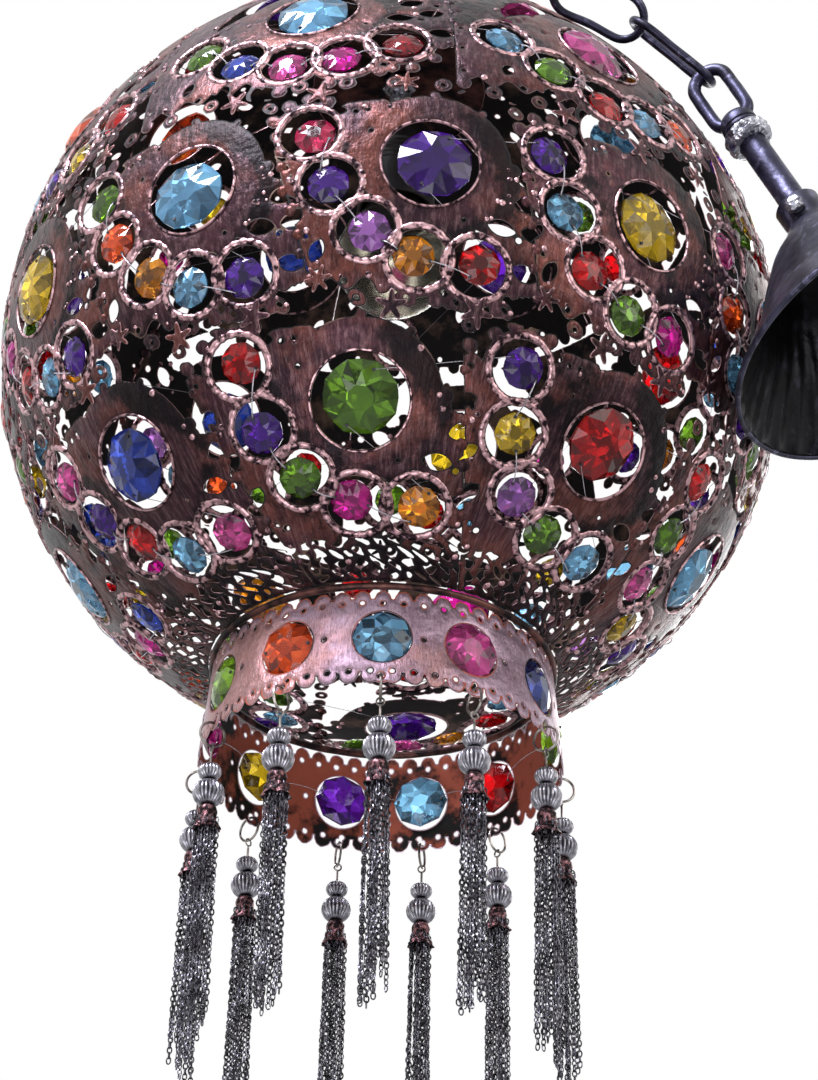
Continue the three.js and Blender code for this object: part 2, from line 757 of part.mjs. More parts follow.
function crownCap() {
  const arc = (radius, from, to) => Array.from({ length: capSteps + 1 }, (unused, k) => {
    const angle = THREE.MathUtils.lerp(from, to, k / capSteps);
    return [radius * Math.sin(angle), radius * Math.cos(angle)];
  });
  const inner = arc(capInner, Math.asin(nippleHole / capInner), capAngle);
  const outer = arc(capTop, capAngle, Math.asin(nippleHole / capTop));
  const loop = [...inner, ...outer];
  return turned([...loop, loop[0]], 20);
}

place('crown_cap', crownCap(), darkCopper);

const nippleTop = capTop + seat + bossHeight * 0.75;
const nippleBottom = nippleTop - nippleLength;
place('crown_nipple', turned([
  [nippleBore, nippleBottom], [nippleRadius, nippleBottom], [nippleRadius, nippleTop],
  [nippleBore, nippleTop], [nippleBore, nippleBottom],
], 10), zinc);

// The nut is a hexagon, so the flats of its bore have to clear the nipple.
const nutSides = 6;
const nutBore = nippleHole / Math.cos(Math.PI / nutSides);
const nutTop = Math.sqrt(capInner ** 2 - lockNutRadius ** 2) - seat;
place('lock_nut', turned([
  [nutBore, nutTop - lockNutHeight], [lockNutRadius, nutTop - lockNutHeight],
  [lockNutRadius, nutTop], [nutBore, nutTop], [nutBore, nutTop - lockNutHeight],
], nutSides), zinc);

function crownLoop() {
  const boss = turned([
    [0, capTop + seat], [bossRadius, capTop + seat], [bossRadius, bossTop - bossHeight / 3],
    [bossRadius / 2, bossTop + loopWireRadius], [0, bossTop + loopWireRadius],
  ], 12);
  const eye = new THREE.TorusGeometry(loopRadius, loopWireRadius, 6, 18);
  eye.rotateX(Math.PI / 2);
  eye.translate(0, 0, bossTop + loopRadius);
  const bore = new THREE.CylinderGeometry(nippleHole, nippleHole, 2 * (nippleTop + seat - capTop), 10);
  bore.rotateX(Math.PI / 2);
  bore.translate(0, 0, capTop);
  return geometryOf(joined([boss, eye]).subtract(solidOf(bore)));
}

place('crown_loop', crownLoop(), gunmetal);

// Lamp: holder on the nipple's lower end, bulb screwed up into it
const holderTop = nippleBottom + holderNeckLength;
const holderBottom = holderTop - holderLength;
const holderBore = bulbCapRadius + seat;
const holderFloor = nippleBottom - seat;
place('lamp_holder', turned([
  [nippleHole, holderTop], [nippleHole, holderFloor - holderWall], [holderBore, holderFloor - holderWall],
  [holderBore, holderBottom + holderLength / 3], [holderRadius - holderWall, holderBottom + holderLength / 4],
  [holderRadius - holderWall, holderBottom], [holderRadius, holderBottom],
  [holderRadius, holderTop - holderNeckLength], [nippleHole + 2 * holderWall, holderTop],
  [nippleHole, holderTop],
], 16), holderShell);

const bulbCapTop = holderFloor - holderWall - seat;
const bulbCapBottom = bulbCapTop - bulbCapLength;
place('bulb_cap', turned([
  [0, bulbCapBottom], [bulbCapRadius, bulbCapBottom], [bulbCapRadius, bulbCapTop - bulbCapRadius / 3],
  [bulbCapRadius / 2, bulbCapTop], [0, bulbCapTop],
], 12), bulbMetal);

function bulbProfile() {
  const neck = bulbCapBottom - seat;
  const centre = neck - bulbLength + bulbRadius;
  const start = Math.asin(bulbNeckRadius / bulbRadius);
  const points = [[0, centre - bulbRadius]];
  const steps = 6;
  for (let k = 1; k < steps; k += 1) {
    const angle = THREE.MathUtils.lerp(0, Math.PI - 1.4 * start, k / steps);
    points.push([bulbRadius * Math.sin(angle), centre - bulbRadius * Math.cos(angle)]);
  }
  points.push([bulbNeckRadius * 0.98, neck - bulbLength / 6]);
  points.push([bulbCapRadius * 0.94, neck], [0, neck]);
  return points;
}

place('bulb_glass', turned(bulbProfile(), 12), bulbGlass);

// Chain: its joints are marched along a curve that leaves the crown loop, settles on the globe
// and rises again at its tail, where the straight stem bridges the curve
const loopBar = loopHeight;
const drapeRadius = globeRadius + drapeLift;

function drapePoint(polarAngle) {
  const longitude = drapeTurn * Math.max(0, polarAngle - drapeTurnStart);
  const settle = Math.max(0, 1 - polarAngle / drapeSettle) ** 2;
  const raised = tailLift * Math.max(0, polarAngle - drapeTail);
  const radius = THREE.MathUtils.lerp(drapeRadius, loopBar, settle) + raised;
  return direction(longitude, Math.PI / 2 - polarAngle).multiplyScalar(radius);
}

function chainJoints() {
  const joints = [drapePoint(0)];
  let angle = 0;
  for (let k = 0; k < linkCount; k += 1) {
    let low = angle;
    let high = angle + (2 * linkPitch) / globeRadius;
    for (let step = 0; step < 50; step += 1) {
      const middle = (low + high) / 2;
      if (drapePoint(middle).distanceTo(joints[k]) < linkPitch) low = middle;
      else high = middle;
    }
    angle = low;
    joints.push(drapePoint(angle));
  }
  return joints;
}

// An oval link: a torus pulled apart along X. It lies in its own XY plane.
function oval(endRadius, wireRadius, innerLength, sides, steps) {
  const ring = new THREE.TorusGeometry(endRadius, wireRadius, sides, steps);
  const pull = innerLength / 2 + wireRadius - endRadius;
  const spots = ring.attributes.position;
  for (let k = 0; k < spots.count; k += 1) {
    const x = spots.getX(k);
    if (Math.abs(x) > endRadius * 1e-3) spots.setX(k, x + Math.sign(x) * pull);
  }
  return ring;
}

const joints = chainJoints();
const linkRolls = [90, 8, 62, -20, 58, 2].map((turn) => turn * DEG);

function rollFrame(along, outward, roll) {
  const lift = outward.clone().addScaledVector(along, -outward.dot(along)).normalize();
  const side = along.clone().cross(lift);
  const wide = side.multiplyScalar(Math.cos(roll)).addScaledVector(lift, Math.sin(roll));
  return new THREE.Matrix4().makeBasis(along, wide, along.clone().cross(wide));
}

for (let k = 0; k < linkCount; k += 1) {
  const along = joints[k + 1].clone().sub(joints[k]).normalize();
  const first = k === 0;
  const reachBack = first ? loopWireRadius + linkSlack : linkSlack;
  const innerLength = linkPitch + reachBack + linkSlack;
  const link = place(`chain_link_${k + 1}`, oval(linkEndRadius, linkWireRadius, innerLength, 4, 16), gunmetal);
  const centre = joints[k].clone().addScaledVector(along, innerLength / 2 - reachBack);
  const frame = rollFrame(along, centre.clone().normalize(), linkRolls[k % linkRolls.length]);
  link.quaternion.setFromRotationMatrix(frame);
  link.position.copy(centre);
}

// Stem and canopy hang from the last link. Their own +Z runs down the stem, and +X faces the set screw.
const stemStart = joints[linkCount];
const stemCollarTop = stemLoopLength - 2 * stemWireRadius;
const stemCollarBottom = stemCollarTop + stemCollarLength;
const tubeTop = stemCollarBottom + seat;
const tubeBottom = tubeTop + stemLength;
const neckBottom = tubeBottom - stemEndLength - seat;
const neckTop = neckBottom - canopyNeckLength;

// The stem leans out just as far as its lock ring, its end and the canopy need to clear the globe.
const bellShares = [[0, 0.17], [0.1, 0.26], [0.2, 0.37], [0.4, 0.52], [0.6, 0.66], [0.8, 0.84], [0.93, 0.95]];
const stemCircles = [
  [tubeTop + lockRingLength / 2, lockRingRadius], [neckTop, canopyNeckRadius],
  [(neckTop + neckBottom) / 2, canopyNeckRadius + seat + screwHeadLength],
  ...bellShares.map(([drop, out]) => [neckBottom + drop * canopyDepth, out * canopyRadius]),
  [neckBottom + canopyDepth, canopyRadius],
];

function stemAxisAt(lean) {
  return direction(stemBearing, lean - Math.PI / 2);
}

function clearsGlobe(lean) {
  const axis = stemAxisAt(lean);
  const down = stemStart.dot(axis);
  const aside = stemStart.clone().addScaledVector(axis, -down).length();
  return stemCircles.every(([along, radius]) =>
    Math.hypot(aside - radius, down + along) > globeRadius + restGap);
}

function leastLean() {
  let [low, high] = [0, Math.PI / 2];
  for (let step = 0; step < 50; step += 1) {
    const middle = (low + high) / 2;
    if (clearsGlobe(middle)) high = middle;
    else low = middle;
  }
  return high;
}

const stemAxis = stemAxisAt(leastLean());
const screwFacing = new THREE.Vector3(-0.47, -0.86, -0.2);
screwFacing.addScaledVector(stemAxis, -screwFacing.dot(stemAxis)).normalize();
const stemGroup = new THREE.Group();
stemGroup.position.copy(stemStart);
stemGroup.quaternion.setFromRotationMatrix(
  new THREE.Matrix4().makeBasis(screwFacing, stemAxis.clone().cross(screwFacing), stemAxis));
globe.add(stemGroup);

function stemLoop() {
  const inner = stemLoopLength - 2 * stemWireRadius + stemLoopSlack;
  const eye = oval(stemLoopRadius, stemWireRadius, inner, 6, 16);
  eye.rotateY(Math.PI / 2);
  eye.translate(0, 0, inner / 2 - stemLoopSlack);
  const end = turned([
    [0, stemCollarTop], [stemCollarRadius * 0.85, stemCollarTop],
    [stemCollarRadius, stemCollarTop + stemCollarLength / 4], [stemCollarRadius, stemCollarBottom],
    [0, stemCollarBottom],
  ], 12);
  return geometryOf(joined([eye, end]));
}

place('stem_loop', stemLoop(), gunmetal, stemGroup);

place('stem_tube', turned([
  [stemBore, tubeTop], [stemRadius, tubeTop], [stemRadius, tubeBottom - stemEndLength],
  [stemEndRadius, tubeBottom - stemEndLength], [stemEndRadius, tubeBottom], [stemBore, tubeBottom],
  [stemBore, tubeTop],
], 12), gunmetal, stemGroup);

place('lock_ring', turned([
  [stemRadius + seat, tubeTop], [lockRingRadius * 0.9, tubeTop],
  [lockRingRadius, tubeTop + lockRingLength / 3], [lockRingRadius, tubeTop + (2 * lockRingLength) / 3],
  [lockRingRadius * 0.9, tubeTop + lockRingLength], [stemRadius + seat, tubeTop + lockRingLength],
  [stemRadius + seat, tubeTop],
], 12), zinc, stemGroup);

// Canopy: a bell that rests on the stem's flared end
const neckBore = stemRadius + seat;

function canopyBell() {
  const outer = bellShares.map(([drop, out]) => [out * canopyRadius, neckBottom + drop * canopyDepth]);
  const inner = bellShares.slice(1).map(([drop, out]) =>
    [out * canopyRadius - canopySheet, neckBottom + drop * canopyDepth + canopySheet * (1 - drop)]);
  const rim = neckBottom + canopyDepth;
  const loop = [
    [neckBore, neckTop], [canopyNeckRadius, neckTop], [canopyNeckRadius, neckBottom - canopySheet],
    ...outer, [canopyRadius, rim - canopyRollRadius], [canopyRadius, rim],
    [canopyRadius - canopyRollRadius, rim], ...inner.reverse(),
    [stemEndRadius + canopySheet / 2, neckBottom], [neckBore, neckBottom],
  ];
  const screwHole = new THREE.CylinderGeometry(screwRadius + seat, screwRadius + seat, canopyNeckRadius * 2, screwSides);
  screwHole.rotateZ(Math.PI / 2);
  screwHole.translate(canopyNeckRadius, 0, (neckTop + neckBottom) / 2);
  return geometryOf(solidOf(turned([...loop, loop[0]], 20)).subtract(solidOf(screwHole)));
}

place('canopy_bell', canopyBell(), gunmetal, stemGroup);

function setScrew() {
  const tip = stemRadius + seat;
  const shankEnd = canopyNeckRadius + seat;
  const points = [
    [0, tip], [screwRadius, tip], [screwRadius, shankEnd], [screwHeadRadius, shankEnd],
    [screwHeadRadius, shankEnd + screwHeadLength * 0.7], [screwHeadRadius * 0.6, shankEnd + screwHeadLength],
    [0, shankEnd + screwHeadLength],
  ];
  const screw = turned(points, screwSides);
  screw.rotateY(Math.PI / 2);
  screw.translate(0, 0, (neckTop + neckBottom) / 2);
  return screw;
}

place('set_screw', setScrew(), zinc, stemGroup);

// Where the moving pieces turn, in the part's own frame
const lifted = (point) => point.clone().setZ(point.z + globeZ);
const alongOf = (k) => joints[k + 1].clone().sub(joints[k]).normalize();
const liftAxes = joints.slice(0, linkCount).map((unused, k) => {
  const before = k === 0 ? zAxis.clone() : alongOf(k - 1);
  const along = alongOf(k);
  return { axis: along.clone().cross(before).normalize(), range: along.angleTo(before) };
});
const lastAlong = alongOf(linkCount - 1);
chandelier.userData.pivots = {
  links: liftAxes.map(({ axis, range }, k) => ({ at: lifted(joints[k]), axis, range })),
  stem: {
    at: lifted(stemStart),
    axis: stemAxis.clone().cross(lastAlong).normalize(),
    range: stemAxis.angleTo(lastAlong),
  },
  canopy: { at: lifted(stemStart.clone().addScaledVector(stemAxis, (neckTop + neckBottom) / 2)), axis: stemAxis },
  screw: {
    at: lifted(stemStart.clone().addScaledVector(stemAxis, (neckTop + neckBottom) / 2)),
    axis: screwFacing,
  },
  bulb: { at: lifted(new THREE.Vector3(0, 0, bulbCapBottom)) },
  tassels: tasselPivots.map(({ at, turn }) => ({
    at: lifted(at),
    axis: new THREE.Vector3(-Math.cos(turn), -Math.sin(turn), 0),
  })),
};

export default chandelier;
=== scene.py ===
import math

import bpy
import numpy as np
from mathutils import Matrix, Vector, geometry


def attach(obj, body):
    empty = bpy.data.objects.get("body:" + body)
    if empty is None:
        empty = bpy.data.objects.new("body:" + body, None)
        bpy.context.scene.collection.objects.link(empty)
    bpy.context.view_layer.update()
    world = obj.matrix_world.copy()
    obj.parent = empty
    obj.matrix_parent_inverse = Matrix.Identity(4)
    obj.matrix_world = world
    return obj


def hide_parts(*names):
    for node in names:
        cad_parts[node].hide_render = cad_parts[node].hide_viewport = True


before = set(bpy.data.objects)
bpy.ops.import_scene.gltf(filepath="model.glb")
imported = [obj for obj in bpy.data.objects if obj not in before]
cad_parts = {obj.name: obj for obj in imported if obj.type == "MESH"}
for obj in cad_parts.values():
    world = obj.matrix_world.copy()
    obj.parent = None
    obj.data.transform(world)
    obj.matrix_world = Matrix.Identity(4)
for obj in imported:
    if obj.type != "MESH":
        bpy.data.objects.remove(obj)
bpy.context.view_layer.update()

# Sizes are in millimetres in this script, and meshes are made in metres.
MM = 0.001
GLOBE_Z = -238.2
GLOBE_RADIUS = 190.0
SHEET = 1.2
# Clearance between pieces
SEAT = 0.3
MOUTH_RADIUS = 79.8
LARGE_HOLE = 21.0
LARGE_RIM = 34.5
SMALL_HOLE = 12.7
SMALL_RIM = 15.5
BORDER = 4.5
SIDE_MARGIN = 0.6
LACE = 15.0
REACH = LARGE_RIM + SMALL_RIM
# Small openings about a large one, as shares of REACH
CRESCENT = [(-1.06, 0.3), (-0.86, -0.23), (-0.53, -0.66), (-0.07, -0.9), (0.44, -0.94)]
# Radius and depth of the gems, and every second corner's share of the radius
LARGE_GEM = (16.6, 11.0)
SMALL_GEM = (9.2, 7.0)
COLLAR_GEM = (12.9, 9.0)
GEM_CORNER = 0.965
COLLAR_CORNER = 0.93
# Width of a plate's rounded edge, and how far its face lies below the solid one, to leave room for rims
EDGE_ROUND = 0.9
DRESS = 0.9


# Points on the globe, about its centre
def direction(longitude, latitude):
    across = np.cos(latitude)
    return np.stack(np.broadcast_arrays(
        across * np.sin(longitude), -across * np.cos(longitude), np.sin(latitude)), -1)


def tangents(centre):
    east = np.cross([0.0, 0.0, 1.0], centre)
    if np.linalg.norm(east) < 1e-9:
        east = np.array([1.0, 0.0, 0.0])
    east = east / np.linalg.norm(east)
    return centre, east, np.cross(centre, east)


def offset_direction(base, x, y):
    centre, east, north = base
    turn = np.hypot(x, y) / GLOBE_RADIUS
    bearing = np.arctan2(y, x)
    return (np.multiply.outer(np.cos(turn), centre)
            + np.multiply.outer(np.sin(turn) * np.cos(bearing), east)
            + np.multiply.outer(np.sin(turn) * np.sin(bearing), north))


def turn_about_z(points, angle):
    c, s = math.cos(angle), math.sin(angle)
    return np.asarray(points) @ np.array([[c, s, 0], [-s, c, 0], [0, 0, 1]])


class Row:
    """One row of panels: the same layout as the solid ones."""

    def __init__(self, level, turn, phase_share, lean_share):
        cos, sin = math.cos(turn), math.sin(turn)
        self.turn = turn
        self.places = [(REACH * (x * cos - y * sin), REACH * (x * sin + y * cos)) for x, y in CRESCENT]
        xs = [p[0] for p in self.places]
        ys = [p[1] for p in self.places]
        left = min(xs) - SMALL_RIM
        right = max(xs + [LARGE_RIM - SMALL_RIM]) + SMALL_RIM
        below = min(ys) - SMALL_RIM
        height = 2 * BORDER + LARGE_RIM + SMALL_RIM - CRESCENT[4][1] * REACH
        mouth = -math.acos(MOUTH_RADIUS / GLOBE_RADIUS)
        start = mouth + LACE / GLOBE_RADIUS
        bottom = start + level * height / GLOBE_RADIUS
        self.top = bottom + height / GLOBE_RADIUS
        spare = (height - LARGE_RIM + below) / 2
        self.latitude = self.top - (LARGE_RIM + spare) / GLOBE_RADIUS
        around = 2 * math.pi * GLOBE_RADIUS * math.cos(self.latitude)
        self.count = int(around // (right - left + 2 * SIDE_MARGIN))
        self.pitch = 2 * math.pi / self.count
        self.phase = phase_share * self.pitch
        self.lean_share = lean_share
        self.bottom = mouth if level == 0 else bottom
        self.middle = (left + right) / 2
        self.level = level

    def longitude(self, index):
        return self.phase + index * self.pitch

    def borders(self, x, y):
        """Distances from the cell's left, right, bottom and top, for places about the first motif."""
        base = tangents(direction(0.0, self.latitude))
        spot = offset_direction(base, x, y)
        latitude = np.arcsin(np.clip(spot[..., 2], -1, 1))
        longitude = np.arctan2(spot[..., 0], -spot[..., 1])
        north = (latitude - self.latitude) * GLOBE_RADIUS
        lean = self.middle + self.lean_share * (north + self.lean_share * REACH)
        along = GLOBE_RADIUS * np.cos(latitude)
        left = (longitude + self.pitch / 2) * along - lean
        right = (self.pitch / 2 - longitude) * along + lean
        bottom = (latitude - self.bottom) * GLOBE_RADIUS
        top = (self.top - latitude) * GLOBE_RADIUS
        return left, right, bottom, top


lower_row = Row(0, 0.0, -0.1, -0.245)
middle_row = Row(1, 0.0, 0.153, -0.245)
upper_row = Row(2, math.radians(30), -0.282, 0.0)


# Flat shapes as fields: below zero is metal
def disc(x, y, centre, radius):
    return np.hypot(x - centre[0], y - centre[1]) - radius


def capsule(x, y, start, end, radius):
    dx, dy = end[0] - start[0], end[1] - start[1]
    share = np.clip(((x - start[0]) * dx + (y - start[1]) * dy) / (dx * dx + dy * dy), 0, 1)
    return np.hypot(x - start[0] - share * dx, y - start[1] - share * dy) - radius


def turned_place(x, y, centre, turn):
    c, s = math.cos(turn), math.sin(turn)
    u, v = x - centre[0], y - centre[1]
    return u * c + v * s, v * c - u * s


def leaf(x, y, centre, length, width, turn):
    u, v = turned_place(x, y, centre, turn)
    a, b = length / 2, width / 2
    radius = (a * a + b * b) / (2 * b)
    return np.hypot(u, np.abs(v) + radius - b) - radius


def diamond(x, y, centre, length, width, turn):
    u, v = turned_place(x, y, centre, turn)
    a, b = length / 2, width / 2
    return (np.abs(u) * b + np.abs(v) * a - a * b) / math.hypot(a, b)


def star(x, y, centre, outer, inner, points, turn):
    u, v = turned_place(x, y, centre, turn)
    share = (1 + np.cos(points * np.arctan2(v, u))) / 2
    return 0.7 * (np.hypot(u, v) - inner - (outer - inner) * share ** 1.8)


def repeated(along, pitch):
    return (along + pitch / 2) % pitch - pitch / 2


def dots(along, pitch, across, radius):
    """A row of dots: one for each pitch."""
    return np.hypot(repeated(along, pitch), across) - radius


def wavy(x, y, seed):
    return (np.sin(x * 0.83 + seed) * np.sin(y * 0.71 - 2 * seed)
            + 0.6 * np.sin(x * 1.9 - y * 1.3 + 3 * seed))


def polygon(x, y, corners):
    """Signed distance to a polygon, below zero inside."""
    nearest = np.full(np.shape(x), 1e9)
    inside = np.zeros(np.shape(x), bool)
    for (ax, ay), (bx, by) in zip(corners, corners[1:] + corners[:1]):
        nearest = np.minimum(nearest, capsule(x, y, (ax, ay), (bx, by), 0.0))
        crosses = (ay > y) != (by > y)
        reach = (bx - ax) * (y - ay) / np.where(np.abs(by - ay) < 1e-9, 1e-9, by - ay) + ax
        inside ^= crosses & (x < reach)
    return np.where(inside, -nearest, nearest)


# Pierced shapes about the large ring: kind, bearing in degrees, reach, length, width
PIERCED = [
    ("dot", 150, 30.2, 2.0, 2.0), ("dot", 228, 30.4, 2.1, 2.1), ("dot", 300, 30.2, 2.0, 2.0),
    ("dot", 264, 31.2, 1.7, 1.7), ("dot", 188, 31.0, 1.8, 1.8),
    ("diamond", 179, 38.2, 6.4, 5.0), ("leaf", 213, 35.0, 7.4, 3.8), ("diamond", 249, 35.2, 5.8, 4.4),
    ("leaf", 282, 37.4, 7.6, 4.2), ("leaf", 262, 39.6, 3.4, 2.6), ("leaf", 196, 35.4, 4.6, 2.6),
    ("leaf", 319, 42.0, 12.0, 6.4), ("leaf", 341, 45.4, 11.0, 6.6), ("diamond", 304, 39.8, 5.6, 4.4),
    ("leaf", 329, 54.6, 11.0, 6.6), ("leaf", 313, 63.5, 11.0, 6.4), ("dot", 339, 57.0, 3.6, 3.6),
    ("dot", 321, 51.0, 3.0, 3.0), ("diamond", 318, 74.0, 7.0, 5.4), ("dot", 308, 73.5, 3.2, 3.2),
    ("leaf", 186, 68.6, 7.0, 4.4), ("leaf", 205, 63.6, 8.4, 5.0), ("leaf", 222, 63.6, 9.4, 5.4),
    ("diamond", 213, 74.0, 8.0, 6.0), ("dot", 196, 71.5, 3.2, 3.2), ("leaf", 230, 72.5, 8.0, 5.0),
    ("dot", 222, 79.0, 3.4, 3.4), ("dot", 238, 66.0, 2.8, 2.8),
    ("dot", 142, 42.0, 2.4, 2.4), ("leaf", 147, 49.0, 7.0, 4.0), ("dot", 136, 38.6, 1.9, 1.9),
]
# More of them in the upper row, whose plates go on round the large ring
UPPER_PIERCED = [("leaf", 12 * k - 2, 41.6, 8.0, 4.6) for k in range(10)]
UPPER_PIERCED += [("dot", 12 * k + 4, 46.0, 2.6, 2.6) for k in range(10)]
# Hollows along the seams between panels
SEAM_PITCH = 10.5
SEAM_PHASE = 2.0
# Knobs round the small rings: the ring's number, bearing in degrees, reach, radius
KNOBS = [
    (0, 66, 18.4, 3.5), (0, 94, 19.6, 3.0), (0, 121, 19.0, 3.6), (0, 152, 18.8, 3.2), (0, 205, 18.6, 3.2),
    (1, 176, 18.8, 3.4), (1, 214, 19.2, 3.2), (2, 196, 19.4, 3.4), (2, 232, 19.6, 3.6), (2, 262, 19.2, 3.2),
    (3, 222, 19.6, 3.3), (3, 250, 19.4, 3.0), (3, 296, 19.6, 3.5), (4, 236, 19.4, 3.2), (4, 262, 19.8, 3.4),
    (4, 300, 19.4, 3.2), (4, 335, 19.0, 3.4), (4, 12, 18.4, 3.0),
]
# Knobs on the large ring: bearing in degrees, radius
RIM_KNOBS = [(127, 3.6), (1, 3.4), (-7, 3.0), (52, 1.9), (88, 2.4)]
RIM_KNOB_REACH = LARGE_RIM + 1.8
# Metal beyond the small and the large rings
SMALL_LAP = 1.7
LARGE_LAP = 1.1
# Where the large ring stands free, and the gap beyond it
FREE_LOW, FREE_HIGH = math.radians(-8), math.radians(123)
FREE_GAP = 14.0
# Corners of the solid areas, after those at the middles of small rings
WEB = [(31.0, -19.0), (0.0, 0.0), (-18.0, 31.0), (-36.0, 29.0)]
FLANK = [(31.0, -17.0), (34.0, -6.0), (80.0, -4.0), (84.0, -70.0), (40.0, -57.0)]
CORNER = [(-16.0, -80.0), (-90.0, -80.0), (-90.0, 8.0)]
# The left side's beaded edge: its beads' distance from the seam and their radius, and how low it starts
EDGE_BEAD = (3.5, 3.4)
EDGE_TOP = 12.0
# Hollows stop this far outside the small rings
RING_KEEP = 0.9


def spot_at(reach, angle, centre=(0.0, 0.0)):
    return centre[0] + reach * math.cos(angle), centre[1] + reach * math.sin(angle)


def pierced_shape(x, y, item, turn, lean):
    """One pierced shape of a table, turned about the middle. A leaf leans from its bearing."""
    kind, bearing, reach, length, width = item
    angle = math.radians(bearing) + turn
    centre = spot_at(reach, angle)
    if kind == "dot":
        return disc(x, y, centre, length / 2)
    if kind == "leaf":
        return leaf(x, y, centre, length, width, angle + lean)
    return diamond(x, y, centre, length, width, angle)


def solid_areas(row, x, y, mx, my, rings, bottom):
    """Metal between the rings. mx and my are the place in the motif's own, unturned layout."""
    c, s = math.cos(row.turn), math.sin(row.turn)
    places = [(p[0] * c + p[1] * s, p[1] * c - p[0] * s) for p in row.places]
    web = polygon(mx, my, places + WEB) - 2.0
    flank = polygon(mx, my, places[4:] + FLANK) + 1.2 * np.sin(0.55 * mx) * np.cos(0.4 * my)
    corner = polygon(mx, my, places[:4] + CORNER) + 1.4 * np.sin(0.5 * mx + 1.0) * np.sin(0.45 * my)
    body = np.minimum(np.minimum(rings, web), np.minimum(flank, corner))
    if row.level > 0:
        strip = 10.5 + 2.6 * np.sin(0.42 * x)
        body = np.minimum(np.maximum(body, strip - bottom), rings)
    else:
        body = np.minimum(body, bottom - 21.5 + 1.5 * np.sin(0.5 * x))
    # The large ring stands free at its upper right
    bearing, rho = np.arctan2(my, mx), np.hypot(x, y)
    broad = rho - LARGE_RIM - LARGE_LAP
    free = (bearing > FREE_LOW) & (bearing < FREE_HIGH)
    if row.level == 2:
        free &= broad < FREE_GAP
        fill = LARGE_RIM + FREE_GAP + 2.0 * np.sin(9 * bearing) - rho
        body = np.minimum(body, np.maximum(fill, -my - 6))
    body = np.where(free, np.maximum(body, 1.0), body)
    return np.minimum(body, broad)


def lower_edge(row, left, bottom):
    """The lace of the lower row, or the hollow knobs of the others: what is metal, and what is open."""
    if row.level > 0:
        along, up = left + 4.0, bottom - 4.4
        return dots(along, 21.0, up, 3.9), dots(along, 21.0, up, 1.25)
    run = left + 1.3 * np.sin(0.52 * bottom + 0.21 * left)
    rise = bottom + 1.1 * np.sin(0.37 * left) + 0.5 * np.sin(0.93 * left)
    lace = [
        dots(run, 6.1, rise - 3.8, 1.5),
        diamond(repeated(run + 3.3, 7.3), rise - 9.0, (0, 0), 6.4, 4.8, 1.4),
        leaf(repeated(run + 1.0, 6.2), rise - 14.6, (0, 0), 5.0, 3.8, 1.9),
        diamond(repeated(run, 8.2), rise - 20.2, (0, 0), 6.6, 4.4, 0.3),
    ]
    return 1e3, np.minimum.reduce(lace)


def panel_field(row):
    c, s = math.cos(row.turn), math.sin(row.turn)
    knobs = [(row.places[number], bearing, reach, radius) for number, bearing, reach, radius in KNOBS]
    knobs += [((0.0, 0.0), bearing, RIM_KNOB_REACH, radius) for bearing, radius in RIM_KNOBS]
    pierced = PIERCED + (UPPER_PIERCED if row.level == 2 else [])

    def field(x, y):
        mx, my = x * c + y * s, y * c - x * s
        left, right, bottom, top = row.borders(x, y)
        side = np.minimum(left, right)
        cell = SEAT / 2 - np.minimum(side, np.minimum(bottom, top))
        rings = np.minimum.reduce([disc(x, y, place, SMALL_RIM + SMALL_LAP) for place in row.places])
        body = solid_areas(row, x, y, mx, my, rings, bottom)
        for centre, bearing, reach, radius in knobs:
            spot = spot_at(reach, math.radians(bearing) + row.turn, centre)
            body = np.minimum(body, disc(x, y, spot, radius))
        # Hollows along the seams, and the beaded edge
        across = repeated(bottom + SEAM_PHASE, SEAM_PITCH)
        tall = 3.3 + 0.9 * np.sin(0.35 * bottom)
        seam_cut = 2.5 * (np.abs(across) / tall + side / 3.9 - 1)
        body = np.maximum(body, np.minimum(-seam_cut, RING_KEEP - rings))
        body = np.maximum(body, np.minimum(np.minimum(4.6 - left, RING_KEEP - rings), my + EDGE_TOP))
        beads = dots(bottom + 1.0, 8.4, left - EDGE_BEAD[0], EDGE_BEAD[1])
        body = np.minimum(body, np.maximum(beads, -my - EDGE_TOP))
        body = np.maximum(body, -dots(bottom + 1.0, 16.8, left - EDGE_BEAD[0], 1.1))
        metal, gaps = lower_edge(row, left, bottom)
        body = np.maximum(np.minimum(body, metal), -gaps)
        body = np.maximum(body, cell)
        body = body + 0.16 * wavy(x, y, 1.0 + row.level)
        # Openings
        keep = np.minimum.reduce([disc(x, y, place, SMALL_RIM + 0.2) for place in row.places])
        for item in pierced:
            grow = 0.0 if item[0] == "dot" else 0.5
            cut = grow - pierced_shape(x, y, item, row.turn, 0.5)
            body = np.maximum(body, np.minimum(cut, keep))
        for place in row.places:
            body = np.maximum(body, -disc(x, y, place, SMALL_HOLE))
        return np.maximum(body, -disc(x, y, (0, 0), LARGE_HOLE))
    return field


# From a field to a plate with rounded edges
MARCH = {
    1: "BL", 2: "RB", 3: "RL", 4: "TR", 5: "BLTR", 6: "TB", 7: "TL",
    8: "LT", 9: "BT", 10: "RBLT", 11: "RT", 12: "LR", 13: "BR", 14: "LB",
}


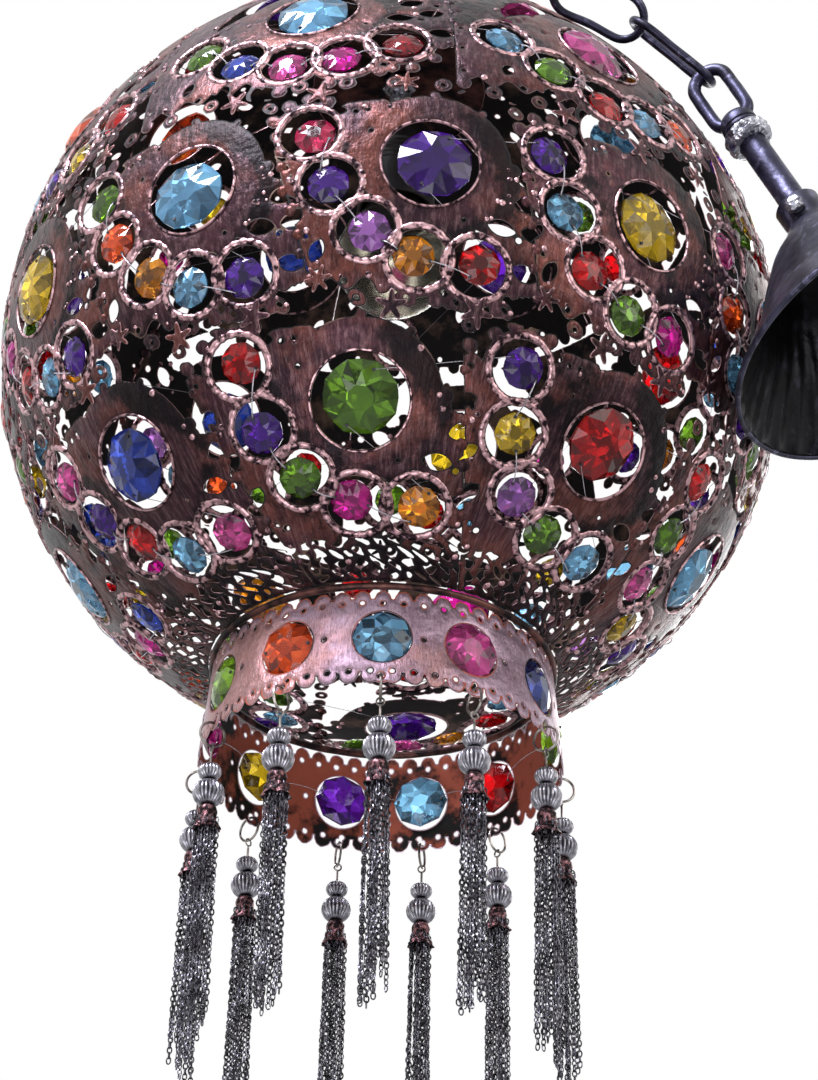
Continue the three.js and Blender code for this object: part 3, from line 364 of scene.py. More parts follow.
def contours(values, xs, ys, level):
    """Closed loops where the field crosses the level."""
    v = values - level
    inside = v < 0
    rows, cols = v.shape
    code = (inside[:-1, :-1] * 1 + inside[:-1, 1:] * 2 + inside[1:, 1:] * 4 + inside[1:, :-1] * 8)
    flat = rows * cols
    follow = {}
    for case, sides in MARCH.items():
        js, iis = np.nonzero(code == case)
        key = {
            "B": js * cols + iis, "T": (js + 1) * cols + iis,
            "L": flat + js * cols + iis, "R": flat + js * cols + iis + 1,
        }
        for k in range(0, len(sides), 2):
            follow.update(zip(key[sides[k]].tolist(), key[sides[k + 1]].tolist()))

    def spot(edge):
        upright, edge = edge >= flat, edge % flat
        j, i = divmod(edge, cols)
        j2, i2 = (j + 1, i) if upright else (j, i + 1)
        a, b = v[j, i], v[j2, i2]
        share = min(0.98, max(0.02, a / (a - b)))
        return (xs[i] + share * (xs[i2] - xs[i]), ys[j] + share * (ys[j2] - ys[j]))

    loops = []
    while follow:
        first, after = follow.popitem()
        loop = [first]
        while after != first:
            loop.append(after)
            after = follow.pop(after, first)
        if len(loop) > 5:
            loops.append(np.array([spot(edge) for edge in loop]))
    return loops


def simplified(loop, tolerance, longest):
    points = np.vstack([loop, loop[:1]])
    count = len(loop)
    far = int(np.argmax(np.hypot(*(points[:-1] - points[0]).T)))
    keep = np.zeros(count + 1, bool)
    keep[[0, far, count]] = True
    stack = [(0, far), (far, count)]
    while stack:
        a, b = stack.pop()
        if b - a < 2:
            continue
        way = points[b] - points[a]
        rest = points[a + 1:b] - points[a]
        off = np.abs(way[0] * rest[:, 1] - way[1] * rest[:, 0]) / max(1e-9, np.hypot(*way))
        k = int(np.argmax(off))
        if off[k] > tolerance:
            keep[a + 1 + k] = True
            stack += [(a, a + 1 + k), (a + 1 + k, b)]
    corners = points[keep]
    result = []
    for a, b in zip(corners[:-1], corners[1:]):
        steps = max(1, int(np.hypot(*(b - a)) // longest))
        result += [a + (b - a) * k / steps for k in range(steps)]
    return np.array(result)


class Shape:
    """Collects points and faces for one mesh, with a material number, a colour for each face and an edge
    value. A gem's face colours carry painted light and shade.
    """

    def __init__(self):
        self.points, self.faces, self.kinds, self.smooth = [], [], [], []
        self.tints, self.edges, self.patina_and_shade_marks = [], [], []
        self.count = 0

    def add(self, points, faces, kind=0, smooth=True, tints=None, edge=0.0, patina_and_shade=0.0):
        points = np.asarray(points, float)
        faces = list(faces)
        self.points.append(points)
        self.edges.append(np.broadcast_to(edge, len(points)))
        self.patina_and_shade_marks.append(np.broadcast_to(patina_and_shade, len(points)))
        first = self.count
        self.faces += [tuple(first + i for i in face) for face in faces]
        self.kinds += list(kind) if hasattr(kind, "__len__") else [kind] * len(faces)
        self.smooth += [smooth] * len(faces)
        self.tints += [(1, 1, 1)] * len(faces) if tints is None else [tuple(c) for c in tints]
        self.count += len(points)
        return self

    def include(self, other, turn=0.0):
        """Adds another shape's faces, with its points turned about Z."""
        first = self.count
        self.points.append(turn_about_z(np.vstack(other.points), turn))
        self.faces += [tuple(first + i for i in face) for face in other.faces]
        for name in ("edges", "patina_and_shade_marks", "kinds", "smooth", "tints"):
            getattr(self, name).extend(getattr(other, name))
        self.count += other.count

    def mesh(self, name, materials, sharp=50):
        mesh = bpy.data.meshes.new(name)
        mesh.from_pydata((np.vstack(self.points) * MM).tolist(), [], self.faces)
        for material in materials:
            mesh.materials.append(material)
        mesh.polygons.foreach_set("material_index", self.kinds)
        mesh.polygons.foreach_set("use_smooth", self.smooth)
        for title, values in (("edge", self.edges), ("patina_and_shade", self.patina_and_shade_marks)):
            marks = mesh.attributes.new(title, "FLOAT", "POINT")
            marks.data.foreach_set("value", np.concatenate(values).astype(np.float32))
        sizes = np.array([len(face) for face in self.faces])
        colours = np.ones((sizes.sum(), 4), np.float32)
        colours[:, :3] = np.repeat(np.array(self.tints, float), sizes, axis=0)
        tint = mesh.attributes.new("tint", "FLOAT_COLOR", "CORNER")
        tint.data.foreach_set("color", colours.ravel())
        mesh.set_sharp_from_angle(angle=math.radians(sharp))
        mesh.update()
        return mesh


GLOBE = Matrix.Translation(Vector((0, 0, GLOBE_Z)) * MM)


def matrix_of(x, y, z, place=(0, 0, 0)):
    """A matrix from its three axes and its place."""
    return Matrix([[x[i], y[i], z[i], place[i]] for i in range(3)] + [[0, 0, 0, 1]])


def new_object(name, data):
    item = bpy.data.objects.new(name, data)
    bpy.context.scene.collection.objects.link(item)
    return item


def show(name, mesh, body, nodes, slot, matrix, shared=False):
    """Adds a piece. Unless its mesh is shared, its turn goes into the mesh, so that its box is true."""
    place = Matrix.Translation(matrix.to_translation())
    if not shared:
        mesh.transform(place.inverted() @ matrix)
        matrix = place
    piece = new_object(name, mesh)
    piece.matrix_world = matrix
    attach(piece, body)
    if nodes:
        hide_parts(*nodes)


def show_shape(name, shape, materials, nodes=(), slot=None, body="globe", matrix=GLOBE, sharp=50):
    show(name, shape.mesh(name, materials, sharp), body, nodes, slot, matrix)


# How far a plate's outline and its inner line may miss the field, and how deep loose points lie
OUTLINE_MISS = 0.06
INNER_MISS = 0.09
LOOSE_DEPTH = 2.0
# How far a plate's two faces draw in at its edge
TOP_DROP = 0.5
LOW_DROP = 0.2


def flat_mesh(field, low, high, step, spacing):
    """Points and triangles of the area below zero, with a line along its edge."""
    xs = np.arange(low[0] - 2 * step, high[0] + 3 * step, step)
    ys = np.arange(low[1] - 2 * step, high[1] + 3 * step, step)
    values = field(*np.meshgrid(xs, ys))
    values[[0, -1], :] = 10.0
    values[:, [0, -1]] = 10.0
    loops = [simplified(loop, OUTLINE_MISS, spacing) for loop in contours(values, xs, ys, 0.0)]
    loops += [simplified(loop, INNER_MISS, spacing) for loop in contours(values, xs, ys, -EDGE_ROUND)]
    gx, gy = np.meshgrid(np.arange(xs[0], xs[-1], spacing), np.arange(ys[0], ys[-1], spacing * 0.87))
    gx = gx + (np.arange(len(gx)) % 2)[:, None] * spacing / 2
    loose = np.stack([gx.ravel(), gy.ravel()], -1)
    loose = loose[field(loose[:, 0], loose[:, 1]) < -LOOSE_DEPTH]
    points, edges = [], []
    for loop in loops:
        first = len(points)
        points += [Vector(p) for p in loop]
        edges += [(first + k, first + (k + 1) % len(loop)) for k in range(len(loop))]
    points += [Vector(p) for p in loose]
    found, _, faces, _, _, _ = geometry.delaunay_2d_cdt(points, edges, [], 0, 1e-5)
    flat = np.array([tuple(p) for p in found])
    faces = np.array([tuple(face) for face in faces if len(face) == 3])
    middles = flat[faces].mean(1)
    faces = faces[field(middles[:, 0], middles[:, 1]) < 0]
    a, b, c = flat[faces[:, 0]], flat[faces[:, 1]], flat[faces[:, 2]]
    area = (b[:, 0] - a[:, 0]) * (c[:, 1] - a[:, 1]) - (b[:, 1] - a[:, 1]) * (c[:, 0] - a[:, 0])
    faces[area < 0] = faces[area < 0][:, ::-1]
    faces = faces[np.abs(area) > 1e-7]
    used = np.unique(faces)
    number = np.full(len(flat), -1)
    number[used] = np.arange(len(used))
    return flat[used], number[faces]


def plate(field, low, high, bend, step=0.75, thick=SHEET, spacing=7.0, patina_and_shade=None):
    """A pierced plate: both faces and the walls, bent by bend(x, y, height)."""
    flat, faces = flat_mesh(field, low, high, step, spacing)
    x, y = flat[:, 0], flat[:, 1]
    count = len(flat)
    depth = np.clip(-field(x, y) / EDGE_ROUND, 0, 1)
    top = thick / 2 - DRESS - TOP_DROP * (1 - depth) ** 2
    foot = -thick / 2 + LOW_DROP * (1 - depth) ** 2
    upper = faces.tolist()
    under = (faces[:, ::-1] + count).tolist()
    sides = dict.fromkeys((face[k], face[(k + 1) % 3]) for face in upper for k in range(3))
    walls = [(i + count, j + count, j, i) for i, j in sides if (j, i) not in sides]
    kinds = [0] * len(upper) + [1] * len(under) + [0] * len(walls)
    # Marks of patina and painted shade from the given field.
    dark = np.clip(patina_and_shade(x, y), 0, 1) if patina_and_shade else np.zeros(count)
    points = np.vstack([bend(x, y, top), bend(x, y, foot)])
    faces = upper + under + walls
    return Shape().add(points, faces, kinds, edge=np.tile(1 - depth, 2), patina_and_shade=np.tile(dark, 2))


# Rings, tubes and turned forms
def circle_angles(count):
    return np.arange(count) / count * 2 * math.pi


def sleeve(rings, sides, closed):
    """Faces between rings of points."""
    faces = []
    for k in range(rings if closed else rings - 1):
        a, b = k * sides, (k + 1) % rings * sides
        faces += [(a + j, a + (j + 1) % sides, b + (j + 1) % sides, b + j) for j in range(sides)]
    return faces


def tube(path, radius, sides, closed=False):
    """Points and faces of a tube along a path. The radius may change along it."""
    path = np.asarray(path, float)
    count = len(path)
    if closed:
        way = np.roll(path, -1, 0) - np.roll(path, 1, 0)
    else:
        way = np.gradient(path, axis=0)
    way /= np.linalg.norm(way, axis=1)[:, None]
    guide = np.array([0.0, 0.0, 1.0])
    if abs(way[0] @ guide) > 0.9:
        guide = np.array([1.0, 0.0, 0.0])
    angles = circle_angles(sides)
    rings = []
    for spot, ahead, reach in zip(path, way, np.broadcast_to(radius, count)):
        guide = guide - (guide @ ahead) * ahead
        guide /= np.linalg.norm(guide)
        across = np.cross(ahead, guide)
        rings.append(spot + reach * (np.outer(np.cos(angles), guide) + np.outer(np.sin(angles), across)))
    faces = sleeve(count, sides, closed)
    if not closed:
        faces.append(tuple(range(sides))[::-1])
        faces.append(tuple((count - 1) * sides + j for j in range(sides)))
    return np.vstack(rings), faces


def circle_path(radius, steps, z=0.0):
    angles = circle_angles(steps)
    return np.stack([radius * np.cos(angles), radius * np.sin(angles), np.full(steps, z)], -1)


def turned(profile, sides, flutes=None):
    """A form turned about Z from [radius, height] pairs. flutes(angle, k) scales the radius."""
    angles = circle_angles(sides)
    points, rings, faces = [], [], []
    for k, (radius, z) in enumerate(np.asarray(profile, float)):
        if radius < 1e-6:
            rings.append([len(points)])
            points.append((0.0, 0.0, z))
            continue
        reach = radius * (flutes(angles, k) if flutes else 1.0) * np.ones(sides)
        rings.append(list(range(len(points), len(points) + sides)))
        points += list(zip(reach * np.cos(angles), reach * np.sin(angles), np.full(sides, z)))
    for a, b in zip(rings[:-1], rings[1:]):
        for j in range(sides):
            i = (j + 1) % sides
            if len(a) == 1:
                faces.append((a[0], b[i], b[j]))
            elif len(b) == 1:
                faces.append((a[j], a[i], b[0]))
            else:
                faces.append((a[j], a[i], b[i], b[j]))
    return np.array(points), faces


def show_turned(name, profile, sides, material, nodes, slot, flutes=None, **place):
    show_shape(name, Shape().add(*turned(profile, sides, flutes)), [material], nodes, slot, **place)


def ball(centre, radius, flat):
    turns = np.linspace(0, math.pi, 5)
    points, faces = turned([(radius * math.sin(t), -radius * flat * math.cos(t)) for t in turns], 8)
    return points + np.asarray(centre), faces


def smooth_line(points, steps):
    """A rounded line through points, for profiles."""
    points = np.asarray(points, float)
    padded = np.vstack([2 * points[0] - points[1], points, 2 * points[-1] - points[-2]])
    result = []
    for k in range(1, len(padded) - 2):
        p0, p1, p2, p3 = padded[k - 1:k + 3]
        for t in np.arange(steps) / steps:
            result.append(0.5 * (2 * p1 + (p2 - p0) * t + (2 * p0 - 5 * p1 + 4 * p2 - p3) * t ** 2
                                 + (3 * p1 - p0 - 3 * p2 + p3) * t ** 3))
    result.append(padded[-2])
    return np.array(result)


# Materials
def linear(code):
    value = [int(code[k:k + 2], 16) / 255 for k in (0, 2, 4)]
    return tuple(c / 12.92 if c <= 0.04045 else ((c + 0.055) / 1.055) ** 2.4 for c in value)


class Nodes:
    """Short calls for the nodes of a material or a world. Colours are given as codes."""

    def __init__(self, owner):
        owner.use_nodes = True
        self.owner = owner
        self.tree = owner.node_tree
        self.place = self.node("TexCoord").outputs["Object"]

    def node(self, kind, **settings):
        node = self.tree.nodes.new(f"ShaderNode{kind}")
        for name, value in settings.items():
            setattr(node, name, value)
        return node

    def put(self, value, socket):
        if isinstance(value, bpy.types.NodeSocket):
            self.tree.links.new(value, socket)
        elif socket.type == "RGBA":
            socket.default_value = (*linear(value), 1)
        else:
            socket.default_value = value

    def feed(self, node, **values):
        for name, value in values.items():
            self.put(value, node.inputs[name.replace("_", " ")])
        return node

    def vector(self, operation, a, b=(0, 0, 0)):
        node = self.node("VectorMath", operation=operation)
        self.put(a, node.inputs[0])
        self.put(b, node.inputs[1])
        return node.outputs["Vector"]

    def spot(self, stretch=(1, 1, 1)):
        """Places on the piece, moved by another amount for each piece."""
        shift = self.node("VectorMath", operation="SCALE")
        self.put((3.1, 5.3, 7.7), shift.inputs[0])
        self.feed(shift, Scale=self.node("ObjectInfo").outputs["Random"])
        moved = self.feed(self.node("Mapping"), Vector=self.place, Location=shift.outputs[0], Scale=stretch)
        return moved.outputs["Vector"]

    def meridian(self, along):
        """Places for streaks that run up and down the globe."""
        level = self.vector("NORMALIZE", self.vector("MULTIPLY", self.place, (1, 1, 0)))
        level = self.vector("MULTIPLY", level, (GLOBE_RADIUS * MM,) * 3)
        return self.vector("ADD", level, self.vector("MULTIPLY", self.place, (0, 0, along)))

    def noise(self, scale, detail=4.0, rough=0.55, stretch=(1, 1, 1), where=None):
        where = where or self.spot(stretch)
        node = self.feed(self.node("TexNoise"), Scale=scale, Detail=detail, Roughness=rough, Vector=where)
        return node.outputs["Fac"]

    def cells(self, scale):
        return self.feed(self.node("TexVoronoi"), Scale=scale, Vector=self.spot()).outputs["Distance"]

    def ramp(self, value, *stops):
        node = self.feed(self.node("ValToRGB"), Fac=value)
        elements = node.color_ramp.elements
        while len(elements) < len(stops):
            elements.new(0.5)
        for element, (place, level) in zip(elements, stops):
            element.position = place
            element.color = (level, level, level, 1)
        return node.outputs["Color"]

    def mix(self, share, a, b, blend="MIX"):
        node = self.node("Mix", data_type="RGBA", blend_type=blend)
        return self.feed(node, Factor=share, A=a, B=b).outputs["Result"]

    def maths(self, operation, a, b, clamp=False):
        node = self.node("Math", operation=operation, use_clamp=clamp)
        self.put(a, node.inputs[0])
        self.put(b, node.inputs[1])
        return node.outputs[0]

    def over(self, base, mask, share, tone):
        """Lays a tone over the base where the mask is light."""
        return self.mix(self.maths("MULTIPLY", mask, share), base, tone)

    def attribute(self, name, output="Fac"):
        return self.node("Attribute", attribute_name=name).outputs[output]

    def hollow_shade(self, distance, full, none):
        """Painted shade in recesses, from ambient occlusion: full and none are the openness where that starts
        and ends.
        """
        node = self.feed(self.node("AmbientOcclusion", samples=4), Distance=distance)
        return self.ramp(node.outputs["AO"], (full, 1.0), (none, 0.0))

    def bump(self, height, distance, strength, **after):
        node = self.feed(self.node("Bump"), Strength=strength, Distance=distance, Height=height, **after)
        return node.outputs["Normal"]

    def finish(self, colour, rough, **values):
        self.feed(self.tree.nodes["Principled BSDF"], Base_Color=colour, Roughness=rough, **values)
        return self.owner


def new_material(name):
    return Nodes(bpy.data.materials.new(name))


def copper_outside(name, light, dark, black, wear, warm, brush, clean):
    n = new_material(name)
    patches = n.noise(30, 5, 0.6)
    streaks = n.noise(460, 5, 0.7, where=n.meridian(brush))
    strokes = n.noise(1000, 2, 0.5, where=n.meridian(brush))
    base = n.mix(n.ramp(patches, (0.36, 0.0), (0.64, 1.0)), dark, light)
    base = n.over(base, n.ramp(n.noise(17, 5, 0.65), (0.47, 0.0), (0.6, 1.0)), 0.7, warm)
    base = n.over(base, n.ramp(streaks, (0.47, 0.0), (0.6, 0.4), (0.76, 1.0)), 0.23, wear)
    base = n.over(base, n.ramp(strokes, (0.36, 1.0), (0.47, 0.0)), 0.36, black)
    cloud = n.noise(28, 8, 0.75, (1.0, 1.0, 0.6))
    # The panels' marks: a black patina patch, painted shade between the small rings, and a darker band at the
    # mouth.
    patina_shade_mask = n.maths("ADD", cloud, n.maths("MULTIPLY", n.attribute("patina_and_shade"), 0.26))
    base = n.over(base, n.ramp(patina_shade_mask, (clean, 0.0), (clean + 0.1, 1.0)), 0.9, black)
    # Dark patina and painted shade in recesses found by ambient occlusion.
    base = n.over(base, n.hollow_shade(0.004, 0.25, 0.9), 0.8, black)
    base = n.over(base, n.ramp(n.attribute("edge"), (0.35, 0.0), (0.95, 1.0)), 0.55, wear)
    rough = n.ramp(patches, (0.3, 0.46), (0.7, 0.27))
    normal = n.bump(streaks, 0.0005, 0.6)
    normal = n.bump(strokes, 0.0002, 0.6, Normal=normal)
    normal = n.bump(n.noise(150, 3), 0.0014, 0.65, Normal=normal)
    return n.finish(base, rough, Normal=normal, Metallic=0.7, Specular_IOR_Level=0.3)


def two_tone(name, dark, light, patches, rough, bump=None, painted_shade=None, grain=0.55, stretch=(1, 1, 1),
             **values):
    """Patches of two tones: patches are (scale, detail, where dark ends, where light starts).

    bump is (scale, detail, distance, strength), and dented where detail is None.
    painted_shade is (distance, full, none, share, tone) of the painted shade laid in recesses.
    """
    n = new_material(name)
    scale, detail, low, high = patches
    base = n.mix(n.ramp(n.noise(scale, detail, grain, stretch), (low, 0.0), (high, 1.0)), dark, light)
    # Painted shade: a dark tone laid in recesses found by ambient occlusion.
    if painted_shade:
        distance, full, none, share, tone = painted_shade
        base = n.over(base, n.hollow_shade(distance, full, none), share, tone)
    if bump:
        scale, detail, distance, strength = bump
        height = n.cells(scale) if detail is None else n.noise(scale, detail)
        values["Normal"] = n.bump(height, distance, strength)
    return n.finish(base, rough, **values)


def gem_material():
    n = new_material("faceted_gem")
    cloud = n.ramp(n.noise(160, 2), (0.35, 0.82), (0.65, 1.0))
    # Each facet's colour carries painted light and shade.
    colour = n.mix(1.0, n.attribute("tint", "Color"), cloud, "MULTIPLY")
    normal = n.bump(n.noise(220, 1), 0.0002, 0.15)
    return n.finish(colour, 0.05, Normal=normal, IOR=1.49, Specular_IOR_Level=0.24, Transmission_Weight=0.64)


def forged_material(name, dark, light, rough, streak, scuff_and_sheen_share):
    n = new_material(name)
    patches = n.noise(55, 6, 0.65, streak)
    base = n.mix(n.ramp(patches, (0.38, 0.0), (0.68, 1.0)), dark, light)
    # Light lavender streaks: scuffs, and a painted purple sheen.
    scuffs_and_sheen = n.ramp(n.noise(190, stretch=streak), (0.56, 0.0), (0.68, 1.0))
    base = n.over(base, scuffs_and_sheen, scuff_and_sheen_share, "9795b4")
    normal = n.bump(n.noise(150), 0.0006, 0.5)
    normal = n.bump(n.cells(130), 0.0005, 0.25, Normal=normal)
    roughness = n.ramp(patches, (0.3, rough + 0.12), (0.7, rough - 0.05))
    return n.finish(base, roughness, Normal=normal, Metallic=0.8)


copper = copper_outside("aged_copper", "432830", "1b0f16", "0b080c", "cfa4a6", "6a3b31", 0.3, 0.52)
# The collar's copper: a lighter, lavender copy of the globe's copper, painted light and reflection.
lit_collar_copper = copper_outside("lit_collar_copper", "b097a8", "7d6370", "1f161b", "f0dce6", "a8766a", 0.4, 0.61)
# Inside of the plates: near black, painted shade, with random lighter brown patches.
painted_shade_inside = two_tone("painted_shade_inside", "100d0f", "6a5447", (30, 6, 0.53, 0.66), 0.55,
                       (260, 3, 0.0004, 0.5), grain=0.65, Metallic=0.6)
collar_inside = two_tone("collar_inside", "12100f", "a0523e", (30, 6, 0.45, 0.53), 0.55,
                         (260, 3, 0.0004, 0.5), grain=0.65, Metallic=0.6)
# Raised rings and solder drops: a much lighter copy of the copper, a painted highlight, with painted shade in
# the nicks.
highlit_rim_copper = two_tone("highlit_rim_copper", "23151b", "c9a0a4", (300, 4, 0.41, 0.57), 0.33,
                      (420, 2, 0.0005, 0.7), (0.002, 0.3, 0.9, 0.7, "130d10"), Metallic=0.88)
dark_seam = two_tone("dark_seam", "1b1416", "6b4640", (90, 5, 0.42, 0.66), 0.42,
                     (300, 4, 0.0004, 0.5), Metallic=0.85)
faceted_gem = gem_material()
# Near-black rods in the gems where the stringing holes are: painted shade.
painted_hole_shade = two_tone("painted_hole_shade", "0c0a10", "1c1822", (400, 4, 0.4, 0.6), 0.5)
clear_thread = two_tone("clear_thread", "b7b4bb", "dedbe2", (200, 4, 0.4, 0.6), 0.18,
                        IOR=1.5, Transmission_Weight=0.6)
bead_silver = two_tone("bead_silver", "77757c", "bcbac2", (300, 4, 0.35, 0.65), 0.3,
                       (900, 2, 0.0001, 0.4), (0.0016, 0.4, 0.95, 0.92, "131116"), Metallic=0.95)
fine_chain = two_tone("fine_chain", "29272d", "7d7b83", (420, 3, 0.38, 0.62), 0.34,
                      None, (0.0015, 0.3, 0.9, 0.7, "141317"), Metallic=0.95)
ring_steel = two_tone("ring_steel", "57514e", "a8a19b", (160, 4, 0.4, 0.6), 0.3,
                      (800, 2, 0.0001, 0.3), Metallic=0.95)
cap_copper = two_tone("cap_copper", "1a1114", "8d6468", (520, 4, 0.46, 0.62), 0.4,
                      (520, 4, 0.0004, 0.7), Metallic=0.85)
forged = forged_material("forged_gunmetal", "1d1c28", "494860", 0.34, (1, 1, 1), 0.3)
bell_outside = forged_material("bell_outside", "1d1d27", "464559", 0.33, (1, 1, 0.4), 0.3)
# Inside of the bell: a near-black copy of the bell's metal, painted shade.
shaded_bell_inside = forged_material("shaded_bell_inside", "050507", "131319", 0.27, (1, 1, 0.3), 0.05)
hammered_zinc = two_tone("hammered_zinc", "55555f", "c3c5ce", (210, 5, 0.36, 0.6), 0.3,
                         (420, None, 0.0008, 0.8), Metallic=0.95)
bakelite = two_tone("holder_bakelite", "161415", "2a2625", (80, 4, 0.35, 0.65), 0.42, (500, 4, 0.0001, 0.3))
bulb_aluminium = two_tone("bulb_aluminium", "9a9ca1", "c6c8cc", (150, 4, 0.35, 0.65), 0.28,
                          (600, 4, 0.0001, 0.3), stretch=(1, 1, 4), Metallic=0.95)
frosted_glass = two_tone("bulb_frosted_glass", "b9b6ac", "cac7bd", (60, 4, 0.3, 0.7), 0.16,
                         (60, 4, 0.00005, 0.2), IOR=1.2, Transmission_Weight=0.98)


# Rows of panels with their raised rims and solder drops
def on_globe(base):
    def bend(x, y, height):
        reach = GLOBE_RADIUS + np.asarray(height)
        return offset_direction(base, np.asarray(x), np.asarray(y)) * reach[..., None]
    return bend


# A raised ring's radius, half width, height, nicks, depth of the nicks, steps, sides and flatness
SMALL_RING = (SMALL_HOLE + 1.75, 1.75, -1.1, 21, 0.15, 105, 8, 0.78)
LARGE_RING = (LARGE_HOLE + 0.55, 0.62, -0.2, 0, 0.0, 84, 6, 1.0)
CROWN_RING = (LARGE_RIM - 0.6, 0.8, -0.35, 46, 0.12, 138, 6, 1.0)
# Places on a panel where drops of solder may lie, their number, and the lowest and highest field there
DROP_AREA = ((-70, 50), (-80, 40))
DROPS = 260
DROP_FIELD = (-2.4, -0.7)
FACE_HEIGHT = SHEET / 2 - DRESS


def rim_tube(bend, centre, radius, thick, height, bumps, depth, steps, sides, squeeze):
    """A raised ring with a nicked edge, bent onto the plate."""
    angles, around = circle_angles(steps), circle_angles(sides)
    reach = radius + 0.12 * np.sin(3 * angles + centre[0])
    body = thick * (1 + depth * np.cos(bumps * angles) * (0.6 + 0.4 * np.sin(3 * angles + centre[1])))
    rho = reach[:, None] + body[:, None] * np.cos(around)[None, :]
    rise = height + squeeze * body[:, None] * np.sin(around)[None, :]
    x = centre[0] + rho * np.cos(angles)[:, None]
    y = centre[1] + rho * np.sin(angles)[:, None]
    faces = [(a, d, c, b) for a, b, c, d in sleeve(steps, sides, True)]
    return bend(x.ravel(), y.ravel(), rise.ravel()), faces


def drop_at(bend, x, y, radius, height):
    """A flattened drop of solder on the plate."""
    points, faces = ball((0, 0, 0), radius, 0.55)
    return bend(x + points[:, 0], y + points[:, 1], height + points[:, 2]), faces


def seam_spots(row, field):
    """Places on a panel's sides, between the openings there, for the solder that joins two panels."""
    xs, ys = np.meshgrid(np.arange(-75, 75, 0.5), np.arange(-92, 60, 0.5))
    left, right, bottom, top = row.borders(xs, ys)
    spots = []
    for side in (left, right):
        for goal in np.arange(1.5 * SEAM_PITCH - SEAM_PHASE, 150.0, SEAM_PITCH):
            miss = np.hypot(side - SIDE_MARGIN, bottom - goal)
            spot = np.unravel_index(miss.argmin(), miss.shape)
            if miss[spot] < 0.5 and top[spot] > 3 and field(xs[spot], ys[spot]) < 0:
                spots.append((xs[spot], ys[spot]))
    return spots


def patina_and_shade_field(row):
    def patina_and_shade(x, y):
        """Black in the large ring's upper right, a patina; painted shade in the recesses between the small
        rings; and the lower row darker towards the mouth.
        """
        bearing = np.arctan2(y, x) - row.turn
        rho = np.hypot(x, y)
        broad = np.exp(-((bearing - 0.75) / 0.62) ** 2) * np.exp(-((rho - 31.0) / 6.5) ** 2)
        # Painted shade in the recesses between the small rings.
        hollow_shade = np.exp(-((rho - 37.0) / 3.5) ** 2) * (np.sin(bearing) < 0.3)
        # Darker towards the mouth in the lower row.
        lace = np.clip(1.3 - row.borders(x, y)[2] / 24.0, 0, 1) * (row.level == 0)
        return 1.15 * broad + 0.6 * hollow_shade + 0.4 * lace
    return patina_and_shade


def panel_shape(row, seed):
    bend = on_globe(tangents(direction(0.0, row.latitude)))
    field = panel_field(row)
    low, high = (-85.0, -95.0), (85.0, 50.0 if row.turn == 0 else 60.0)
    shape = plate(field, low, high, bend, spacing=5.0, patina_and_shade=patina_and_shade_field(row))
    # Raised rings and drops take the lighter rim copper: a painted highlight.
    for place in row.places:
        shape.add(*rim_tube(bend, place, *SMALL_RING), kind=2, edge=0.5)
    shape.add(*rim_tube(bend, (0, 0), *LARGE_RING), kind=2, edge=0.8)
    chance = np.random.default_rng(seed)
    xs, ys = (chance.uniform(*span, DROPS) for span in DROP_AREA)
    for x, y, value in zip(xs, ys, field(xs, ys)):
        size = chance.uniform(0.9, 1.9)
        clear = min(math.hypot(x - p[0], y - p[1]) - SMALL_RIM for p in row.places)
        if DROP_FIELD[0] < value < DROP_FIELD[1] and clear > 0 and math.hypot(x, y) > LARGE_RIM - 1:
            shape.add(*drop_at(bend, x, y, size, FACE_HEIGHT - 0.3), kind=2, edge=0.6)
    for x, y in seam_spots(row, field):
        dx, dy = chance.uniform(-1.6, 1.6, 2)
        size = chance.uniform(1.9, 3.2)
        shape.add(*drop_at(bend, x + dx, y + dy, size, FACE_HEIGHT - 0.9), edge=0.3)
    return shape


panel_materials = [copper, painted_shade_inside, highlit_rim_copper]
for name, row, span in (("lower", lower_row, 1), ("middle", middle_row, 1), ("upper", upper_row, 2)):
    one = panel_shape(row, 7 + row.level)
    whole = Shape()
    for part in range(span):
        whole.include(one, part * row.pitch)
    mesh = whole.mesh(f"{name}_panel", panel_materials)
    for k in range(row.count // span):
        matrix = GLOBE @ Matrix.Rotation(row.longitude(k * span), 4, "Z")
        nodes = [f"globe_panel_{name}_{k + 1}"]
        show(f"{name}_panel_{k + 1}", mesh.copy(), "globe", nodes, "aged_copper", matrix)

# Stars soldered across the seams between rows: row, place, radius, points, turn
STARS = [
    (middle_row, -14.0, -66.0, 7.2, 5, 0.3), (middle_row, 23.0, -66.0, 7.6, 5, 1.1),
    (middle_row, -46.0, -55.0, 6.4, 6, 0.2), (upper_row, -30.0, -62.0, 7.0, 5, 0.8),
    (upper_row, 10.0, -66.0, 7.4, 5, 0.1), (upper_row, 48.0, -58.0, 6.2, 6, 0.5),
]
STAR_SHEET = 1.9
STAR_LIFT = 0.5


def star_plates(row):
    shape = Shape()
    bend = on_globe(tangents(direction(0.0, row.latitude)))
    for cx, cy, size, points, turn in [item[1:] for item in STARS if item[0] is row]:

        def field(x, y, cx=cx, cy=cy, size=size, points=points, turn=turn):
            return star(x, y, (cx, cy), size, size * 0.42, points, turn)

        def raised(x, y, height):
            return bend(x, y, np.asarray(height) + STAR_LIFT)

        shape.include(plate(field, (cx - size, cy - size), (cx + size, cy + size), raised, 0.5, STAR_SHEET))
    return shape


for name, row in (("middle", middle_row), ("upper", upper_row)):
    one = star_plates(row)
    whole = Shape()
    for k in range(row.count):
        whole.include(one, row.longitude(k))
    show_shape(f"{name}_stars", whole, panel_materials, (), "aged_copper")

